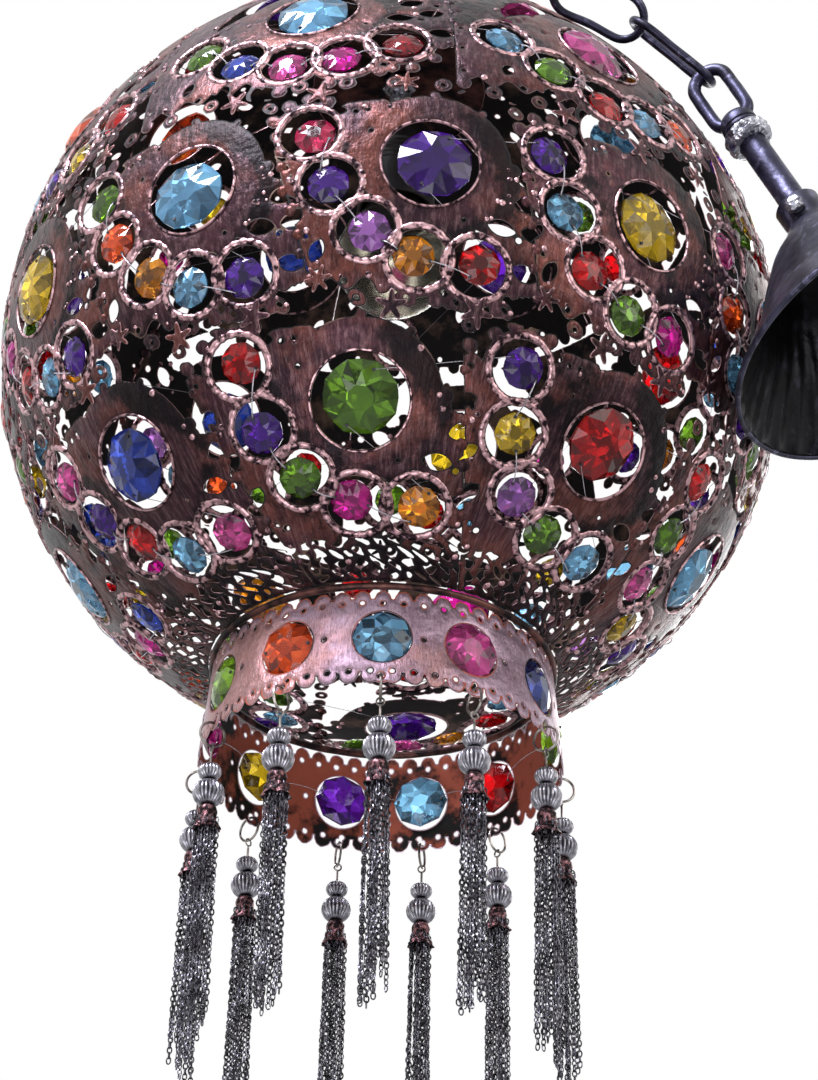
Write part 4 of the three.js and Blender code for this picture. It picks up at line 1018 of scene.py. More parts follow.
# Crown dome: six equal sectors round the pole
CROWN_HOLE = 46.0
CROWN_REACH = (math.pi / 2 - upper_row.top) * GLOBE_RADIUS - SEAT / 2
CROWN_LARGE = (CROWN_REACH + CROWN_HOLE) / 2 + LARGE_RIM / 4
CROWN_SMALL = [CROWN_REACH - BORDER - SMALL_RIM, CROWN_REACH - 2 * BORDER - 3 * SMALL_RIM]
SECTOR = math.radians(60)
POLE = tangents(np.array([0.0, 0.0, 1.0]))
CROWN_PIERCED = [
    ("leaf", 0, 84.0, 9.0, 5.0), ("dot", 10, 86.0, 3.0, 3.0), ("dot", -10, 86.0, 3.0, 3.0),
    ("leaf", 20, 92.0, 9.0, 5.0), ("diamond", 30, 101.0, 6.0, 4.6), ("leaf", 40, 92.0, 9.0, 5.0),
    ("diamond", 8, 66.0, 6.0, 4.4), ("leaf", 22, 70.0, 8.0, 4.6), ("diamond", 37, 66.0, 6.0, 4.4),
    ("dot", 0, 56.0, 3.2, 3.2), ("dot", 15, 56.0, 3.2, 3.2), ("dot", 30, 56.0, 3.2, 3.2),
    ("leaf", 14, 148.0, 10.0, 5.4), ("leaf", -12, 158.0, 10.0, 5.6), ("leaf", 18, 134.0, 6.0, 3.8),
    ("diamond", 41, 142.0, 6.4, 4.6), ("leaf", 6, 166.0, 8.0, 4.6), ("dot", 12, 170.0, 3.0, 3.0),
    ("dot", -4, 170.5, 3.0, 3.0), ("leaf", 40, 160.0, 8.0, 5.0), ("dot", 20, 172.0, 3.0, 3.0),
    ("dot", 38, 172.0, 3.0, 3.0), ("diamond", 18.5, 110.0, 6.0, 4.6), ("leaf", 41, 110.0, 7.0, 4.4),
    ("dot", 15, 98.0, 2.6, 2.6),
]


def crown_field(x, y):
    reach = np.hypot(x, y)
    angle = np.arctan2(y, x)
    low, high = -SECTOR / 4, 3 * SECTOR / 4
    wedge = np.maximum(x * math.sin(low) - y * math.cos(low), y * math.cos(high) - x * math.sin(high))
    body = np.maximum(CROWN_HOLE - reach, reach - CROWN_REACH + 5.0)
    feet = dots(angle * CROWN_REACH, CROWN_REACH * SECTOR / 14, reach - CROWN_REACH + 4.6, 4.0)
    body = np.minimum(body, feet)
    body = np.maximum(body, wedge + SEAT / 2) + 0.16 * wavy(x, y, 4.0)
    for item in CROWN_PIERCED:
        body = np.maximum(body, -pierced_shape(x, y, item, 0.0, 0.4))
    for out in CROWN_SMALL:
        body = np.maximum(body, -disc(x, y, spot_at(out, SECTOR / 2), SMALL_HOLE))
    return np.maximum(body, -disc(x, y, (CROWN_LARGE, 0), LARGE_HOLE))


def crown_sector():
    bend = on_globe(POLE)
    shape = plate(crown_field, (30.0, -50.0), (CROWN_REACH + 4, 132.0), bend)
    for out in CROWN_SMALL:
        shape.add(*rim_tube(bend, spot_at(out, SECTOR / 2), *SMALL_RING), kind=2, edge=0.5)
    large = (CROWN_LARGE, 0.0)
    shape.add(*rim_tube(bend, large, *LARGE_RING), kind=2, edge=0.8)
    shape.add(*rim_tube(bend, large, *CROWN_RING), kind=2, edge=0.6)
    return shape


one = crown_sector()
dome = Shape()
for k in range(6):
    dome.include(one, k * SECTOR)
show_shape("crown_dome", dome, panel_materials, ["globe_crown_dome"], "aged_copper")

# Gems, each with facets on both sides and two stringing holes
GEM_COLOURS = {
    "L": "78b4d8", "O": "e2521a", "A": "d98812", "P": "4c1290", "R": "c00008", "K": "d64f9c",
    "M": "c40f8c", "I": "a86abb", "G": "5c861a", "Y": "cfae1c", "B": "2440a8", "D": "84101e",
    "N": "c22a58", "W": "b9cfd4", "V": "6a1cb4", "E": "8fbf24",
}
LOWER_GEMS = ["GRPGMA", "RPYIGL", "LRGKYP", "YMBLRG", "PLRAKG", "OGLPRY", "LYPRMB", "BKPRLK"]
MIDDLE_GEMS = [
    "PNPIAR", "YPLRGM", "RKOLPG", "GLRYBM", "LPOGRI", "MYLPGR", "ARPLKG", "BGMYRL", "RLYPOG",
    "YGMRLP", "LGOALP",
]
UPPER_GEMS = ["LGBKMD", "KLGRLO", "GPYRLM", "RBLGAP", "YMPLRG", "BRGOLI", "PLARGM", "OGLPYR"]
CROWN_GEMS = "LRGPAKBMYOLRPGIKAL"
COLLAR_GEMS = "LKBERLVYMEO"
# Stringing holes: where they lie as a share of the gem's radius, and their own radius
STRING_SHARE = 0.8
STRING_HOLE = 0.75


def gem(radius, depth, corner):
    """Points and faces of a gem that faces +Z, with its stringing holes along X."""
    eighth = math.pi / 4

    def ring(count, share, z, turn=0.0, second=1.0):
        spots = []
        for k in range(count):
            r = radius * share * (second if k % 2 else 1.0)
            a = 2 * math.pi * k / count + turn
            spots.append((r * math.cos(a), r * math.sin(a), z * depth))
        return spots

    points = ring(8, 0.36, 0.43) + ring(8, 0.7, 0.32, eighth / 2)
    points += ring(16, 1.0, 0.06, 0.0, corner) + ring(16, 1.0, -0.06, 0.0, corner)
    points += ring(8, 0.7, -0.32, eighth / 2) + ring(8, 0.36, -0.43)
    table, mid, high, low, back, foot = 0, 8, 16, 32, 48, 56
    faces = [tuple(range(8)), tuple(range(foot + 7, foot - 1, -1))]
    for k in range(8):
        n, p = (k + 1) % 8, (k - 1) % 8
        here, after, beyond = 2 * k, 2 * k + 1, (2 * k + 2) % 16
        faces += [
            (table + k, mid + k, table + n), (table + k, mid + p, high + here, mid + k),
            (mid + k, high + here, high + after), (mid + k, high + after, high + beyond),
            (foot + k, foot + n, back + k), (foot + k, back + k, low + here, back + p),
            (back + k, low + after, low + here), (back + k, low + beyond, low + after),
        ]
    faces += [(high + j, low + j, low + (j + 1) % 16, high + (j + 1) % 16) for j in range(16)]
    return np.array(points), faces


def frame_at(normal, across):
    side = across - normal * (across @ normal)
    side /= np.linalg.norm(side)
    return np.stack([side, np.cross(normal, side), normal])


def string_of_gems(spots, seed):
    """Gems with their holes, off centre and tipped a little by chance, and their places for the thread.

    spots are (centre, normal, (radius, depth), letter, corner, play).
    """
    chance = np.random.default_rng(seed)
    shape = Shape()
    ends = []
    for k, (centre, normal, (radius, depth), letter, corner, play) in enumerate(spots):
        ahead = spots[(k + 1) % len(spots)][0] - centre
        behind = centre - spots[k - 1][0]
        across = ahead / np.linalg.norm(ahead) + behind / np.linalg.norm(behind)
        axes = frame_at(normal, across)
        turn = chance.uniform(0, 2 * math.pi)
        out = play * math.sqrt(chance.uniform(0.1, 1.0))
        spot = centre + out * (math.cos(turn) * axes[0] + math.sin(turn) * axes[1])
        tip = chance.uniform(-0.10, 0.10, 2)
        leaned = normal + tip[0] * axes[0] + tip[1] * axes[1]
        leaned /= np.linalg.norm(leaned)
        axes = frame_at(leaned, across)
        points, faces = gem(radius, depth, corner)
        colour = np.array(linear(GEM_COLOURS[letter]))
        # Painted light and shade: each facet a random amount lighter or darker.
        painted_facet_light = chance.uniform(0.3, 1.4, len(faces)) ** 1.5
        tints = np.clip(colour[None, :] * painted_facet_light[:, None] + 0.004, 0, 1)
        shape.add(points @ axes + spot, faces, smooth=False, tints=tints)
        # Dark rods where the stringing holes are: painted shade.
        for side in (-1, 1):
            reach = side * STRING_SHARE * radius
            rod, faces = tube([(reach, 0, -0.2 * depth), (reach, 0, 0.2 * depth + 0.35)], STRING_HOLE, 8)
            shape.add(rod @ axes + spot, faces, kind=1)
        ends.append((spot, axes, radius, depth))
    return shape, ends


# Threads longer than this run behind the plates, and are thinner
LONG_THREAD = 34.0
THREAD_RADIUS = 0.28
LONG_THREAD_RADIUS = 0.16


def thread_shape(ends, rise):
    """Clear thread from gem to gem. It bows out by rise, or towards the axis where rise is below zero."""
    shape = Shape()
    for (a, axes_a, radius_a, depth_a), (b, axes_b, radius_b, depth_b) in zip(ends, ends[1:]):
        face = 0.2 if rise > 0 else -0.25
        start = a + STRING_SHARE * radius_a * axes_a[0] + face * depth_a * axes_a[2]
        finish = b - STRING_SHARE * radius_b * axes_b[0] + face * depth_b * axes_b[2]
        if np.linalg.norm(finish - start) < 2:
            continue
        shares = np.linspace(0, 1, 9)[:, None]
        middle = (a + b) / 2
        out = middle * np.array([-1, -1, 0.0]) if rise < 0 else middle
        out = out / np.linalg.norm(out)
        long = np.linalg.norm(b - a) > LONG_THREAD
        if long and rise > 0:
            out = -0.4 * out
        line = start + (finish - start) * shares + out * abs(rise) * np.sin(math.pi * shares) ** 0.7
        shape.add(*tube(line, LONG_THREAD_RADIUS if long else THREAD_RADIUS, 5))
    return shape


# How far the gems' middles lie inside the plates
inner_radius = GLOBE_RADIUS - SHEET / 2
ROW_SINK = 2.1
CROWN_SINK = 2.6


def row_spots(row, letters):
    spots = []
    for k in range(row.count - 1, -1, -1):
        home = tangents(direction(row.longitude(k), row.latitude))
        for index in (0, 5, 4, 3, 2, 1):
            place = row.places[index - 1] if index else (0.0, 0.0)
            size, play = (SMALL_GEM, 2.6) if index else (LARGE_GEM, 3.4)
            normal = offset_direction(home, *np.array(place))
            centre = normal * (inner_radius - ROW_SINK)
            spots.append((centre, normal, size, letters[k][index], GEM_CORNER, play))
    return spots


def crown_spots():
    spots = []
    for k in range(6):
        places = [(spot_at(CROWN_LARGE, k * SECTOR), LARGE_GEM, 3.0)]
        places += [(spot_at(out, (k + 0.5) * SECTOR), SMALL_GEM, 1.5) for out in CROWN_SMALL]
        for j, (place, size, play) in enumerate(places):
            normal = offset_direction(POLE, *np.array(place))
            centre = normal * (inner_radius - CROWN_SINK)
            spots.append((centre, normal, size, CROWN_GEMS[3 * k + j], GEM_CORNER, play))
    return spots


def show_string(name, spots, seed, slot, rise):
    gems, ends = string_of_gems(spots, seed)
    show_shape(f"{name}_gems", gems, [faceted_gem, painted_hole_shade], [f"gem_string_{name}"], slot, sharp=5)
    show_shape(f"{name}_thread", thread_shape(ends, rise), [clear_thread])


for name, spots, slot in (
        ("lower", row_spots(lower_row, LOWER_GEMS), "warm_gems"),
        ("middle", row_spots(middle_row, MIDDLE_GEMS), "cool_gems"),
        ("upper", row_spots(upper_row, UPPER_GEMS), "warm_gems"),
        ("crown", crown_spots(), "cool_gems")):
    show_string(name, spots, len(name) * 11, slot, 2.2)

# Seam wire, collar and its gems
SEAM_WIRE = 1.8
COLLAR_HEIGHT = 48.0
HEM_RADIUS = 82.0
COLLAR_HOLE = 13.1
HEM_HOLE = 1.6
COLLAR_TURNS = [math.radians(turn) for turn in (0, 29, 61, 96, 138, 166, 194, 228, 264, 297, 329)]
COLLAR_START = math.radians(-180)
COLLAR_SCALLOPS = 55
mouth_latitude = lower_row.bottom
seam_x = GLOBE_RADIUS * math.cos(mouth_latitude) + math.sin(mouth_latitude) * (SEAM_WIRE + SEAT)
seam_z = GLOBE_RADIUS * math.sin(mouth_latitude) - math.cos(mouth_latitude) * (SEAM_WIRE + SEAT)
collar_top = seam_z - SEAM_WIRE - SEAT
collar_length = 2 * math.pi * HEM_RADIUS
collar_pitch = collar_length / COLLAR_SCALLOPS


def collar_radius(drop):
    return seam_x + (HEM_RADIUS - seam_x) * drop / COLLAR_HEIGHT


angles = circle_angles(150)
path = circle_path(seam_x + 0.12 * np.sin(9 * angles), 150, seam_z)
seam = Shape().add(*tube(path, SEAM_WIRE * (0.9 + 0.05 * np.sin(23 * angles)), 10, True))
show_shape("seam_wire_rolled", seam, [dark_seam], ["seam_wire"], "dark_copper")


def collar_field(x, y):
    """The collar laid flat: x runs round it and y runs down from its top."""
    between = x + collar_pitch / 2
    body = np.maximum(4.4 - y, y - (COLLAR_HEIGHT - 5.6))
    low = dots(x, collar_pitch, y - (COLLAR_HEIGHT - 4.5), 4.2)
    high = dots(between, collar_pitch, y - 4.2, 3.9)
    body = np.minimum(body, np.minimum(low, high))
    body = np.maximum(body, np.maximum(SEAT / 2 - x, x - collar_length + SEAT / 2))
    body = body + 0.18 * wavy(x, y, 2.0)
    pins = dots(x, collar_pitch, y - (COLLAR_HEIGHT - 6.4), 1.2)
    pins = np.minimum(pins, dots(between, collar_pitch, y - 6.6, 1.2))
    for turn in COLLAR_TURNS:
        cx, cy = (turn - COLLAR_START) % (2 * math.pi) * HEM_RADIUS, COLLAR_HEIGHT / 2
        near = disc(x, y, (cx, cy), 0.0)
        body = np.maximum(body, COLLAR_HOLE - near)
        pins = np.maximum(pins, COLLAR_HOLE + 2.2 - near)
        pins = np.minimum(pins, np.hypot(x - cx - 18.4, y - cy) - 1.1)
        foot = disc(x, y, (cx, COLLAR_HEIGHT - 4.4), 4.2)
        body = np.minimum(body, np.maximum(foot, y - COLLAR_HEIGHT + 0.2))
        pins = np.minimum(pins, disc(x, y, (cx, HEM_DROP), HEM_HOLE))
    return np.maximum(body, -pins)


def collar_bend(x, y, height):
    turn = np.asarray(x) / HEM_RADIUS + COLLAR_START
    radius = collar_radius(np.asarray(y)) + np.asarray(height)
    return np.stack([radius * np.sin(turn), -radius * np.cos(turn), collar_top - np.asarray(y)], -1)


# The field is turned upside down, so that the plate's outside faces out
HEM_DROP = COLLAR_HEIGHT - 4.0
band = plate(lambda x, y: collar_field(x, COLLAR_HEIGHT - y), (0.0, 0.0), (collar_length, COLLAR_HEIGHT),
             lambda x, y, height: collar_bend(x, COLLAR_HEIGHT - y, height), 0.8)
show_shape("collar_pierced", band, [lit_collar_copper, collar_inside], ["collar_band"], "aged_copper")

collar_spots = []
for turn, letter in zip(COLLAR_TURNS, COLLAR_GEMS):
    normal = direction(turn, 0.0)
    centre = normal * (collar_radius(COLLAR_HEIGHT / 2) - SHEET / 2 - 1.9)
    centre[2] = collar_top - COLLAR_HEIGHT / 2
    collar_spots.append((centre, normal, COLLAR_GEM, letter, COLLAR_CORNER, 0.4))
show_string("collar", collar_spots, 5, "warm_gems", -3.4)

# Tassels
JUMP_RING = 5.75
JUMP_WIRE = 0.6
PIN_WIRE = 0.55
EYE_WIRE = 0.42
# Radius, length and flutes of the two beads
BEADS = ((5.2, 8.0, 18), (7.0, 12.5, 22))
BEAD_START = 0.16
STRANDS = 14
OUTER_STRANDS = 10
STRAND_PITCH = 2.3
STRAND_WIRE = 0.33


def bead(shape, z, radius, length, flutes):
    turns = np.linspace(BEAD_START, math.pi - BEAD_START, 15)
    span = math.cos(BEAD_START)
    rounds = [(radius * math.sin(t), z - length / 2 * (1 - math.cos(t) / span)) for t in turns]
    inner = [0.0] + [math.sin(t) ** 0.6 for t in turns] + [0.0]

    def fluted(angles, k):
        return 1 - 0.12 * inner[k] * (0.5 + 0.5 * np.cos(flutes * angles)) ** 1.8

    profile = [(radius * 0.2, z)] + rounds + [(radius * 0.2, z - length)]
    shape.add(*turned(profile, flutes * 6, fluted))


def bead_cap(shape, top):
    line = smooth_line([(1.2, top + 0.4), (3.2, top), (4.2, top - 2.0), (3.9, top - 5.0), (4.5, top - 8.0),
                        (5.9, top - 11.2)], 4)
    profile = np.vstack([line, line[::-1] - [0.5, 0.1], line[:1]])
    heights = (top - profile[:, 1]) / 11.5

    def petals(angles, k):
        share = max(0.0, heights[k] - 0.35) / 0.65
        folds = 0.07 * np.sin(9 * angles + 0.9 * k) * min(1.0, heights[k] * 3)
        return 1 + folds + share * 0.26 * np.abs(np.cos(2.5 * angles)) ** 0.7 - 0.16 * share

    shape.add(*turned(profile, 40, petals), kind=2)


def strands(shape, top, seed, chance):
    angle = circle_angles(14)
    for k in range(STRANDS):
        outer = k < OUTER_STRANDS
        among = OUTER_STRANDS if outer else STRANDS - OUTER_STRANDS
        turn = 2 * math.pi * k / among + chance.uniform(-0.2, 0.2)
        out = chance.uniform(3.7, 4.7) if outer else chance.uniform(1.3, 2.0)
        length = chance.uniform(84, 99) + 5.0 * math.cos(turn + seed)
        spread = chance.uniform(1.05, 1.35)
        start = np.array([*spot_at(out, turn), top])
        foot = np.array([*spot_at(out * spread, turn + 0.1), top - length])
        count = int(length / STRAND_PITCH)
        sway = chance.uniform(-0.5, 0.5, 2)
        spin = chance.uniform(0, math.pi)
        for j in range(count):
            share = (j + 0.5) / count
            centre = start + (foot - start) * share
            centre[:2] += sway * math.sin(math.pi * share)
            roll = spin + j * math.pi / 2 * 0.92
            wide = 0.92 * np.sin(angle)
            link = np.stack([wide * math.cos(roll), wide * math.sin(roll), 1.5 * np.cos(angle)], -1)
            shape.add(*tube(link + centre, STRAND_WIRE, 4, True), kind=3)


def tassel_shape(seed):
    shape = Shape()
    shape.add(*tube(circle_path(JUMP_RING, 40)[:, [0, 2, 1]], JUMP_WIRE, 8, True), kind=1)
    eye_z = -JUMP_RING - 1.0
    eye = circle_path(1.7, 20)[:, [2, 0, 1]] + np.array([0, 0, eye_z])
    shape.add(*tube(eye, EYE_WIRE, 6, True), kind=1)
    z = -JUMP_RING + JUMP_WIRE - 9.0
    shape.add(*tube([(0, 0, eye_z - 1.6), (0, 0, z - 1.0)], PIN_WIRE, 8), kind=1)
    for radius, length, flutes in BEADS:
        bead(shape, z, radius, length, flutes)
        z -= length
    bead_cap(shape, z)
    strands(shape, z - 6.0, seed, np.random.default_rng(seed))
    return shape


tassel_materials = [bead_silver, ring_steel, cap_copper, fine_chain]
tassel_meshes = [tassel_shape(seed).mesh(f"tassel_{seed}", tassel_materials, 40) for seed in (1, 2, 3)]
ring_drop = HEM_DROP + HEM_HOLE - SEAT - JUMP_WIRE + JUMP_RING * math.cos(math.pi / 10)
for k, turn in enumerate(COLLAR_TURNS):
    radius = collar_radius(HEM_DROP)
    place = Vector((radius * math.sin(turn), -radius * math.cos(turn), collar_top - ring_drop)) * MM
    matrix = GLOBE @ Matrix.Translation(place) @ Matrix.Rotation(turn - math.pi / 2, 4, "Z")
    node = f"tassel_{k + 1}"
    show(f"chain_tassel_{k + 1}", tassel_meshes[k % 3], node, [node], "tassel_metal", matrix, True)

# Crown cap, nipple, nut and loop
CAP_INNER = GLOBE_RADIUS + SHEET / 2 + 0.7
CAP_TOP = CAP_INNER + 1.6
CAP_RADIUS = 54.0
NIPPLE = 5.0
LOOP_RADIUS = 18.0
LOOP_WIRE = 3.0
BOSS_RADIUS = 9.5
BOSS_HEIGHT = 12.0
BOSS_TOP = CAP_TOP + SEAT + BOSS_HEIGHT
LOOP_HEIGHT = BOSS_TOP + 2 * LOOP_RADIUS

NIPPLE_BORE = 3.2
NIPPLE_LENGTH = 52.0
THREAD_PITCH = 1.0
NUT_BORE = 5.3
NUT_HEIGHT = 6.0
NUT_RADIUS = 9.0
CAP_BEADS = 40
CAP_BEAD_RADIUS = 1.3


def cap_arc(radius, first, last, count):
    return [(radius * math.sin(t), radius * math.cos(t)) for t in np.linspace(first, last, count)]


cap_angle = math.asin(CAP_RADIUS / CAP_INNER)
arc = cap_arc(CAP_TOP, NIPPLE * 1.08 / CAP_TOP, cap_angle, 16)
under = cap_arc(CAP_INNER, cap_angle, NIPPLE * 1.08 / CAP_INNER, 10)
rolled = [(CAP_RADIUS + 0.5, arc[-1][1] - 0.2), (CAP_RADIUS + 0.6, under[0][1] + 0.2)]
cap = Shape().add(*turned(arc[:-1] + rolled + under + arc[:1], 96))
reach = CAP_RADIUS - 4.0
for k in range(CAP_BEADS):
    spot = (*spot_at(reach, 2 * math.pi * k / CAP_BEADS), math.sqrt(CAP_TOP ** 2 - reach ** 2))
    cap.add(*ball(spot, CAP_BEAD_RADIUS, 0.6))
show_shape("crown_cap_beaded", cap, [dark_seam], ["crown_cap"], "dark_copper")

seat_z = CAP_TOP + SEAT
nipple_top = CAP_TOP + SEAT + BOSS_HEIGHT * 0.75
nipple_bottom = nipple_top - NIPPLE_LENGTH
thread = [(NIPPLE_BORE, nipple_bottom), (NIPPLE - 0.5, nipple_bottom)]
z = nipple_bottom + 0.3
while z < nipple_top - 1.2:
    thread += [(NIPPLE - 0.55, z), (NIPPLE - 0.02, z + THREAD_PITCH / 2)]
    z += THREAD_PITCH
thread += [(NIPPLE - 0.5, nipple_top), (NIPPLE_BORE, nipple_top), (NIPPLE_BORE, nipple_bottom)]
show_turned("crown_nipple_threaded", thread, 32, hammered_zinc, ["crown_nipple"], "zinc", sharp=30)

nut_top = math.sqrt(CAP_INNER ** 2 - NUT_RADIUS ** 2) - SEAT
nut_foot = nut_top - NUT_HEIGHT
bore = NUT_BORE / math.cos(math.pi / 6)
nut_profile = [(bore, nut_foot), (7.4, nut_foot), (NUT_RADIUS, nut_top - 5.2), (NUT_RADIUS, nut_top - 0.8),
               (7.4, nut_top), (bore, nut_top), (bore, nut_foot)]
nut = Shape().add(*turned(nut_profile, 6), smooth=False)
show_shape("lock_nut_faced", nut, [hammered_zinc], ["lock_nut"], "zinc", sharp=20)

eye = circle_path(LOOP_RADIUS, 72)[:, [0, 2, 1]] + np.array([0, 0, BOSS_TOP + LOOP_RADIUS])
loop = Shape().add(*tube(eye, LOOP_WIRE * 0.99, 14, True))
boss = smooth_line([
    (BOSS_RADIUS, seat_z + 0.8), (BOSS_RADIUS * 0.98, CAP_TOP + 4), (BOSS_RADIUS * 0.8, CAP_TOP + 6.4),
    (BOSS_RADIUS * 0.86, CAP_TOP + 8), (BOSS_RADIUS * 0.62, BOSS_TOP - 1),
    (BOSS_RADIUS * 0.5, BOSS_TOP + 2.6),
], 5)
boss = np.vstack([[(5.4, seat_z), (BOSS_RADIUS - 0.6, seat_z)], boss, [(0, BOSS_TOP + 2.9)]])
loop.add(*turned(boss, 48))
show_shape("crown_loop_forged", loop, [forged], ["crown_loop"], "gunmetal")

# Lamp holder and bulb
HOLDER_BORE = 5.4
HOLDER_RADIUS = 19.9
HOLDER_SOCKET = 13.3
HOLDER_RIDGES = 5
BULB_RADIUS = 30.0
BULB_LENGTH = 82.0
BULB_WALL = 1.1
top = nipple_bottom + 8.0
foot = top - 58.0
socket_top = nipple_bottom - 2.3
profile = [(HOLDER_BORE, top), (8.6, top), (9.4, top - 0.8), (14.0, top - 4.6), (19.2, top - 8.2),
           (HOLDER_RADIUS, top - 9.6), (HOLDER_RADIUS, top - 22)]
for ridge in range(HOLDER_RIDGES):
    low = top - 23 - 3.0 * ridge
    profile += [(19.1, low), (19.1, low - 0.8), (HOLDER_RADIUS, low - 1.4), (HOLDER_RADIUS, low - 2.4)]
profile += [(HOLDER_RADIUS, foot + 1.0), (19.4, foot), (18.3, foot), (18.0, foot + 14),
            (HOLDER_SOCKET, foot + 19), (HOLDER_SOCKET, socket_top), (HOLDER_BORE, socket_top),
            (HOLDER_BORE, top)]
show_turned("lamp_holder_ribbed", profile[::-1], 64, bakelite, ["lamp_holder"], "holder_shell", sharp=30)

top = nipple_bottom - SEAT - 2.0 - SEAT
foot = top - 26.0
profile = [(0, foot), (12.4, foot)]
z = foot + 2.0
while z < top - 7:
    profile += [(12.2, z), (12.9, z + 1.4)]
    z += 2.8
profile += [(12.2, top - 5), (6.5, top - 0.6), (3.0, top - 0.4), (0, top - 0.2)]
show_turned("bulb_screw_cap", profile, 48, bulb_aluminium, ["bulb_cap"], "bulb_metal", body="bulb", sharp=40)

neck = foot - SEAT
centre = neck - BULB_LENGTH + BULB_RADIUS
turns = np.linspace(0, math.pi - 0.68, 22)
inner_bulb = BULB_RADIUS - BULB_WALL
profile = [(BULB_RADIUS * math.sin(t), centre - BULB_RADIUS * math.cos(t)) for t in turns]
profile += [(13.9, neck - 13.0), (12.4, neck - 5.0), (12.2, neck), (0, neck)]
inside = [(0, neck - 3.0), (11.0, neck - 3.0), (11.4, neck - 6.0), (12.7, neck - 13.0)]
inside += [(inner_bulb * math.sin(t), centre - inner_bulb * math.cos(t)) for t in turns[::-1]]
bulb = Shape().add(*turned(profile, 64)).add(*turned(inside, 64))
show_shape("bulb_envelope", bulb, [frosted_glass], ["bulb_glass"], "bulb_glass", "bulb", sharp=70)

# Chain over the shoulder
LINK_COUNT = 6
LINK_PITCH = 44.0
LINK_WIRE = 2.2
LINK_END = 11.6
LINK_SLACK = 0.45
LINK_ROLLS = [math.radians(turn) for turn in (90, 8, 62, -20, 58, 2)]
LINK_STEPS = 96
# How far the chain's middle line lies outside the globe
DRAPE = 15.5


def drape_point(polar):
    longitude = 1.46 * max(0.0, polar - math.radians(16))
    settle = max(0.0, 1 - polar / math.radians(36)) ** 2
    raised = 17.0 * max(0.0, polar - math.radians(44))
    radius = GLOBE_RADIUS + DRAPE + (LOOP_HEIGHT - GLOBE_RADIUS - DRAPE) * settle + raised
    return direction(longitude, math.pi / 2 - polar) * radius


joints = [drape_point(0.0)]
reached = 0.0
for k in range(LINK_COUNT):
    low, high = reached, reached + 2 * LINK_PITCH / GLOBE_RADIUS
    for _ in range(50):
        middle = (low + high) / 2
        if np.linalg.norm(drape_point(middle) - joints[k]) < LINK_PITCH:
            low = middle
        else:
            high = middle
    reached = low
    joints.append(drape_point(reached))


def oval_shape(end_radius, wire, inner, waist, dents):
    """A welded link with an uneven wire: inner is its inside length, and waist draws in its sides."""
    angles = circle_angles(15 * LINK_STEPS)
    pull = inner / 2 + wire - end_radius
    x, y = end_radius * np.cos(angles), end_radius * np.sin(angles)
    x = x + np.tanh(x / end_radius * 9.0) * pull
    share = np.clip(x / (pull + end_radius) * math.pi / 1.2, -math.pi / 2, math.pi / 2)
    y = y * (1 - waist * np.cos(share) ** 2)
    dense = np.stack([x, y, np.zeros(len(x))], -1)
    gaps = np.linalg.norm(np.roll(dense, -1, 0) - dense, axis=1)
    run = np.concatenate([[0], np.cumsum(gaps)])
    closed = np.vstack([dense, dense[:1]])
    shares = np.arange(LINK_STEPS) / LINK_STEPS
    path = np.stack([np.interp(shares * run[-1], run, closed[:, j]) for j in range(3)], -1)
    uneven = np.sin(2 * math.pi * shares * 5 + dents) * np.sin(2 * math.pi * shares * 3)
    return tube(path, wire * (0.96 + 0.03 * uneven), 14, True)


for k in range(LINK_COUNT):
    along = joints[k + 1] - joints[k]
    along /= np.linalg.norm(along)
    back = (LOOP_WIRE if k == 0 else 0.0) + LINK_SLACK
    inner = LINK_PITCH + back + LINK_SLACK
    centre = joints[k] + along * (inner / 2 - back)
    outward = centre / np.linalg.norm(centre)
    lift = outward - along * (outward @ along)
    lift /= np.linalg.norm(lift)
    wide = np.cross(along, lift) * math.cos(LINK_ROLLS[k]) + lift * math.sin(LINK_ROLLS[k])
    axes = np.stack([along, wide, np.cross(along, wide)])
    points, faces = oval_shape(LINK_END, LINK_WIRE, inner, 0.07, k)
    node = f"chain_link_{k + 1}"
    show_shape(f"forged_link_{k + 1}", Shape().add(points @ axes + centre, faces), [forged], [node],
               "gunmetal", node)

# Stem and canopy: +Z runs down the stem, and +X faces the set screw
stem_axis = direction(math.radians(77.4), math.radians(23.756) - math.pi / 2)
facing = np.array([-0.47, -0.86, -0.2])
facing = facing - stem_axis * (facing @ stem_axis)
facing /= np.linalg.norm(facing)
stem_place = Matrix.Translation(Vector(joints[LINK_COUNT]) * MM)
stem_matrix = GLOBE @ stem_place @ matrix_of(facing, np.cross(stem_axis, facing), stem_axis)
STEM_WIRE = 3.4
STEM_LOOP = 36.0
STEM_BACK = 1.5
STEM_COLLAR = 10.0
STEM_LENGTH = 76.0
STEM_BORE = 4.6
STEM_RADIUS = 6.7
FOOT_RADIUS = 9.35
RING_BORE = 7.1

start = STEM_LOOP - 2 * STEM_WIRE
end = start + STEM_COLLAR
inner = start + STEM_BACK
points, faces = oval_shape(9.0, STEM_WIRE, inner, 0.0, 2)
stem = Shape()
stem.add(points[:, [2, 1, 0]] + np.array([0, 0, inner / 2 - STEM_BACK]), [face[::-1] for face in faces])
profile = [(0, start), (6.6, start), (7.8, start + 0.6), (8.6, start + 2.0), (9.15, start + 3.0),
           (9.15, start + 6.4), (8.5, start + 6.9), (9.0, start + 7.5), (9.0, end - 0.5), (8.6, end),
           (0, end)]
stem.add(*turned(profile[::-1], 48))
show_shape("stem_loop_forged", stem, [forged], ["stem_loop"], "gunmetal", "stem", stem_matrix)

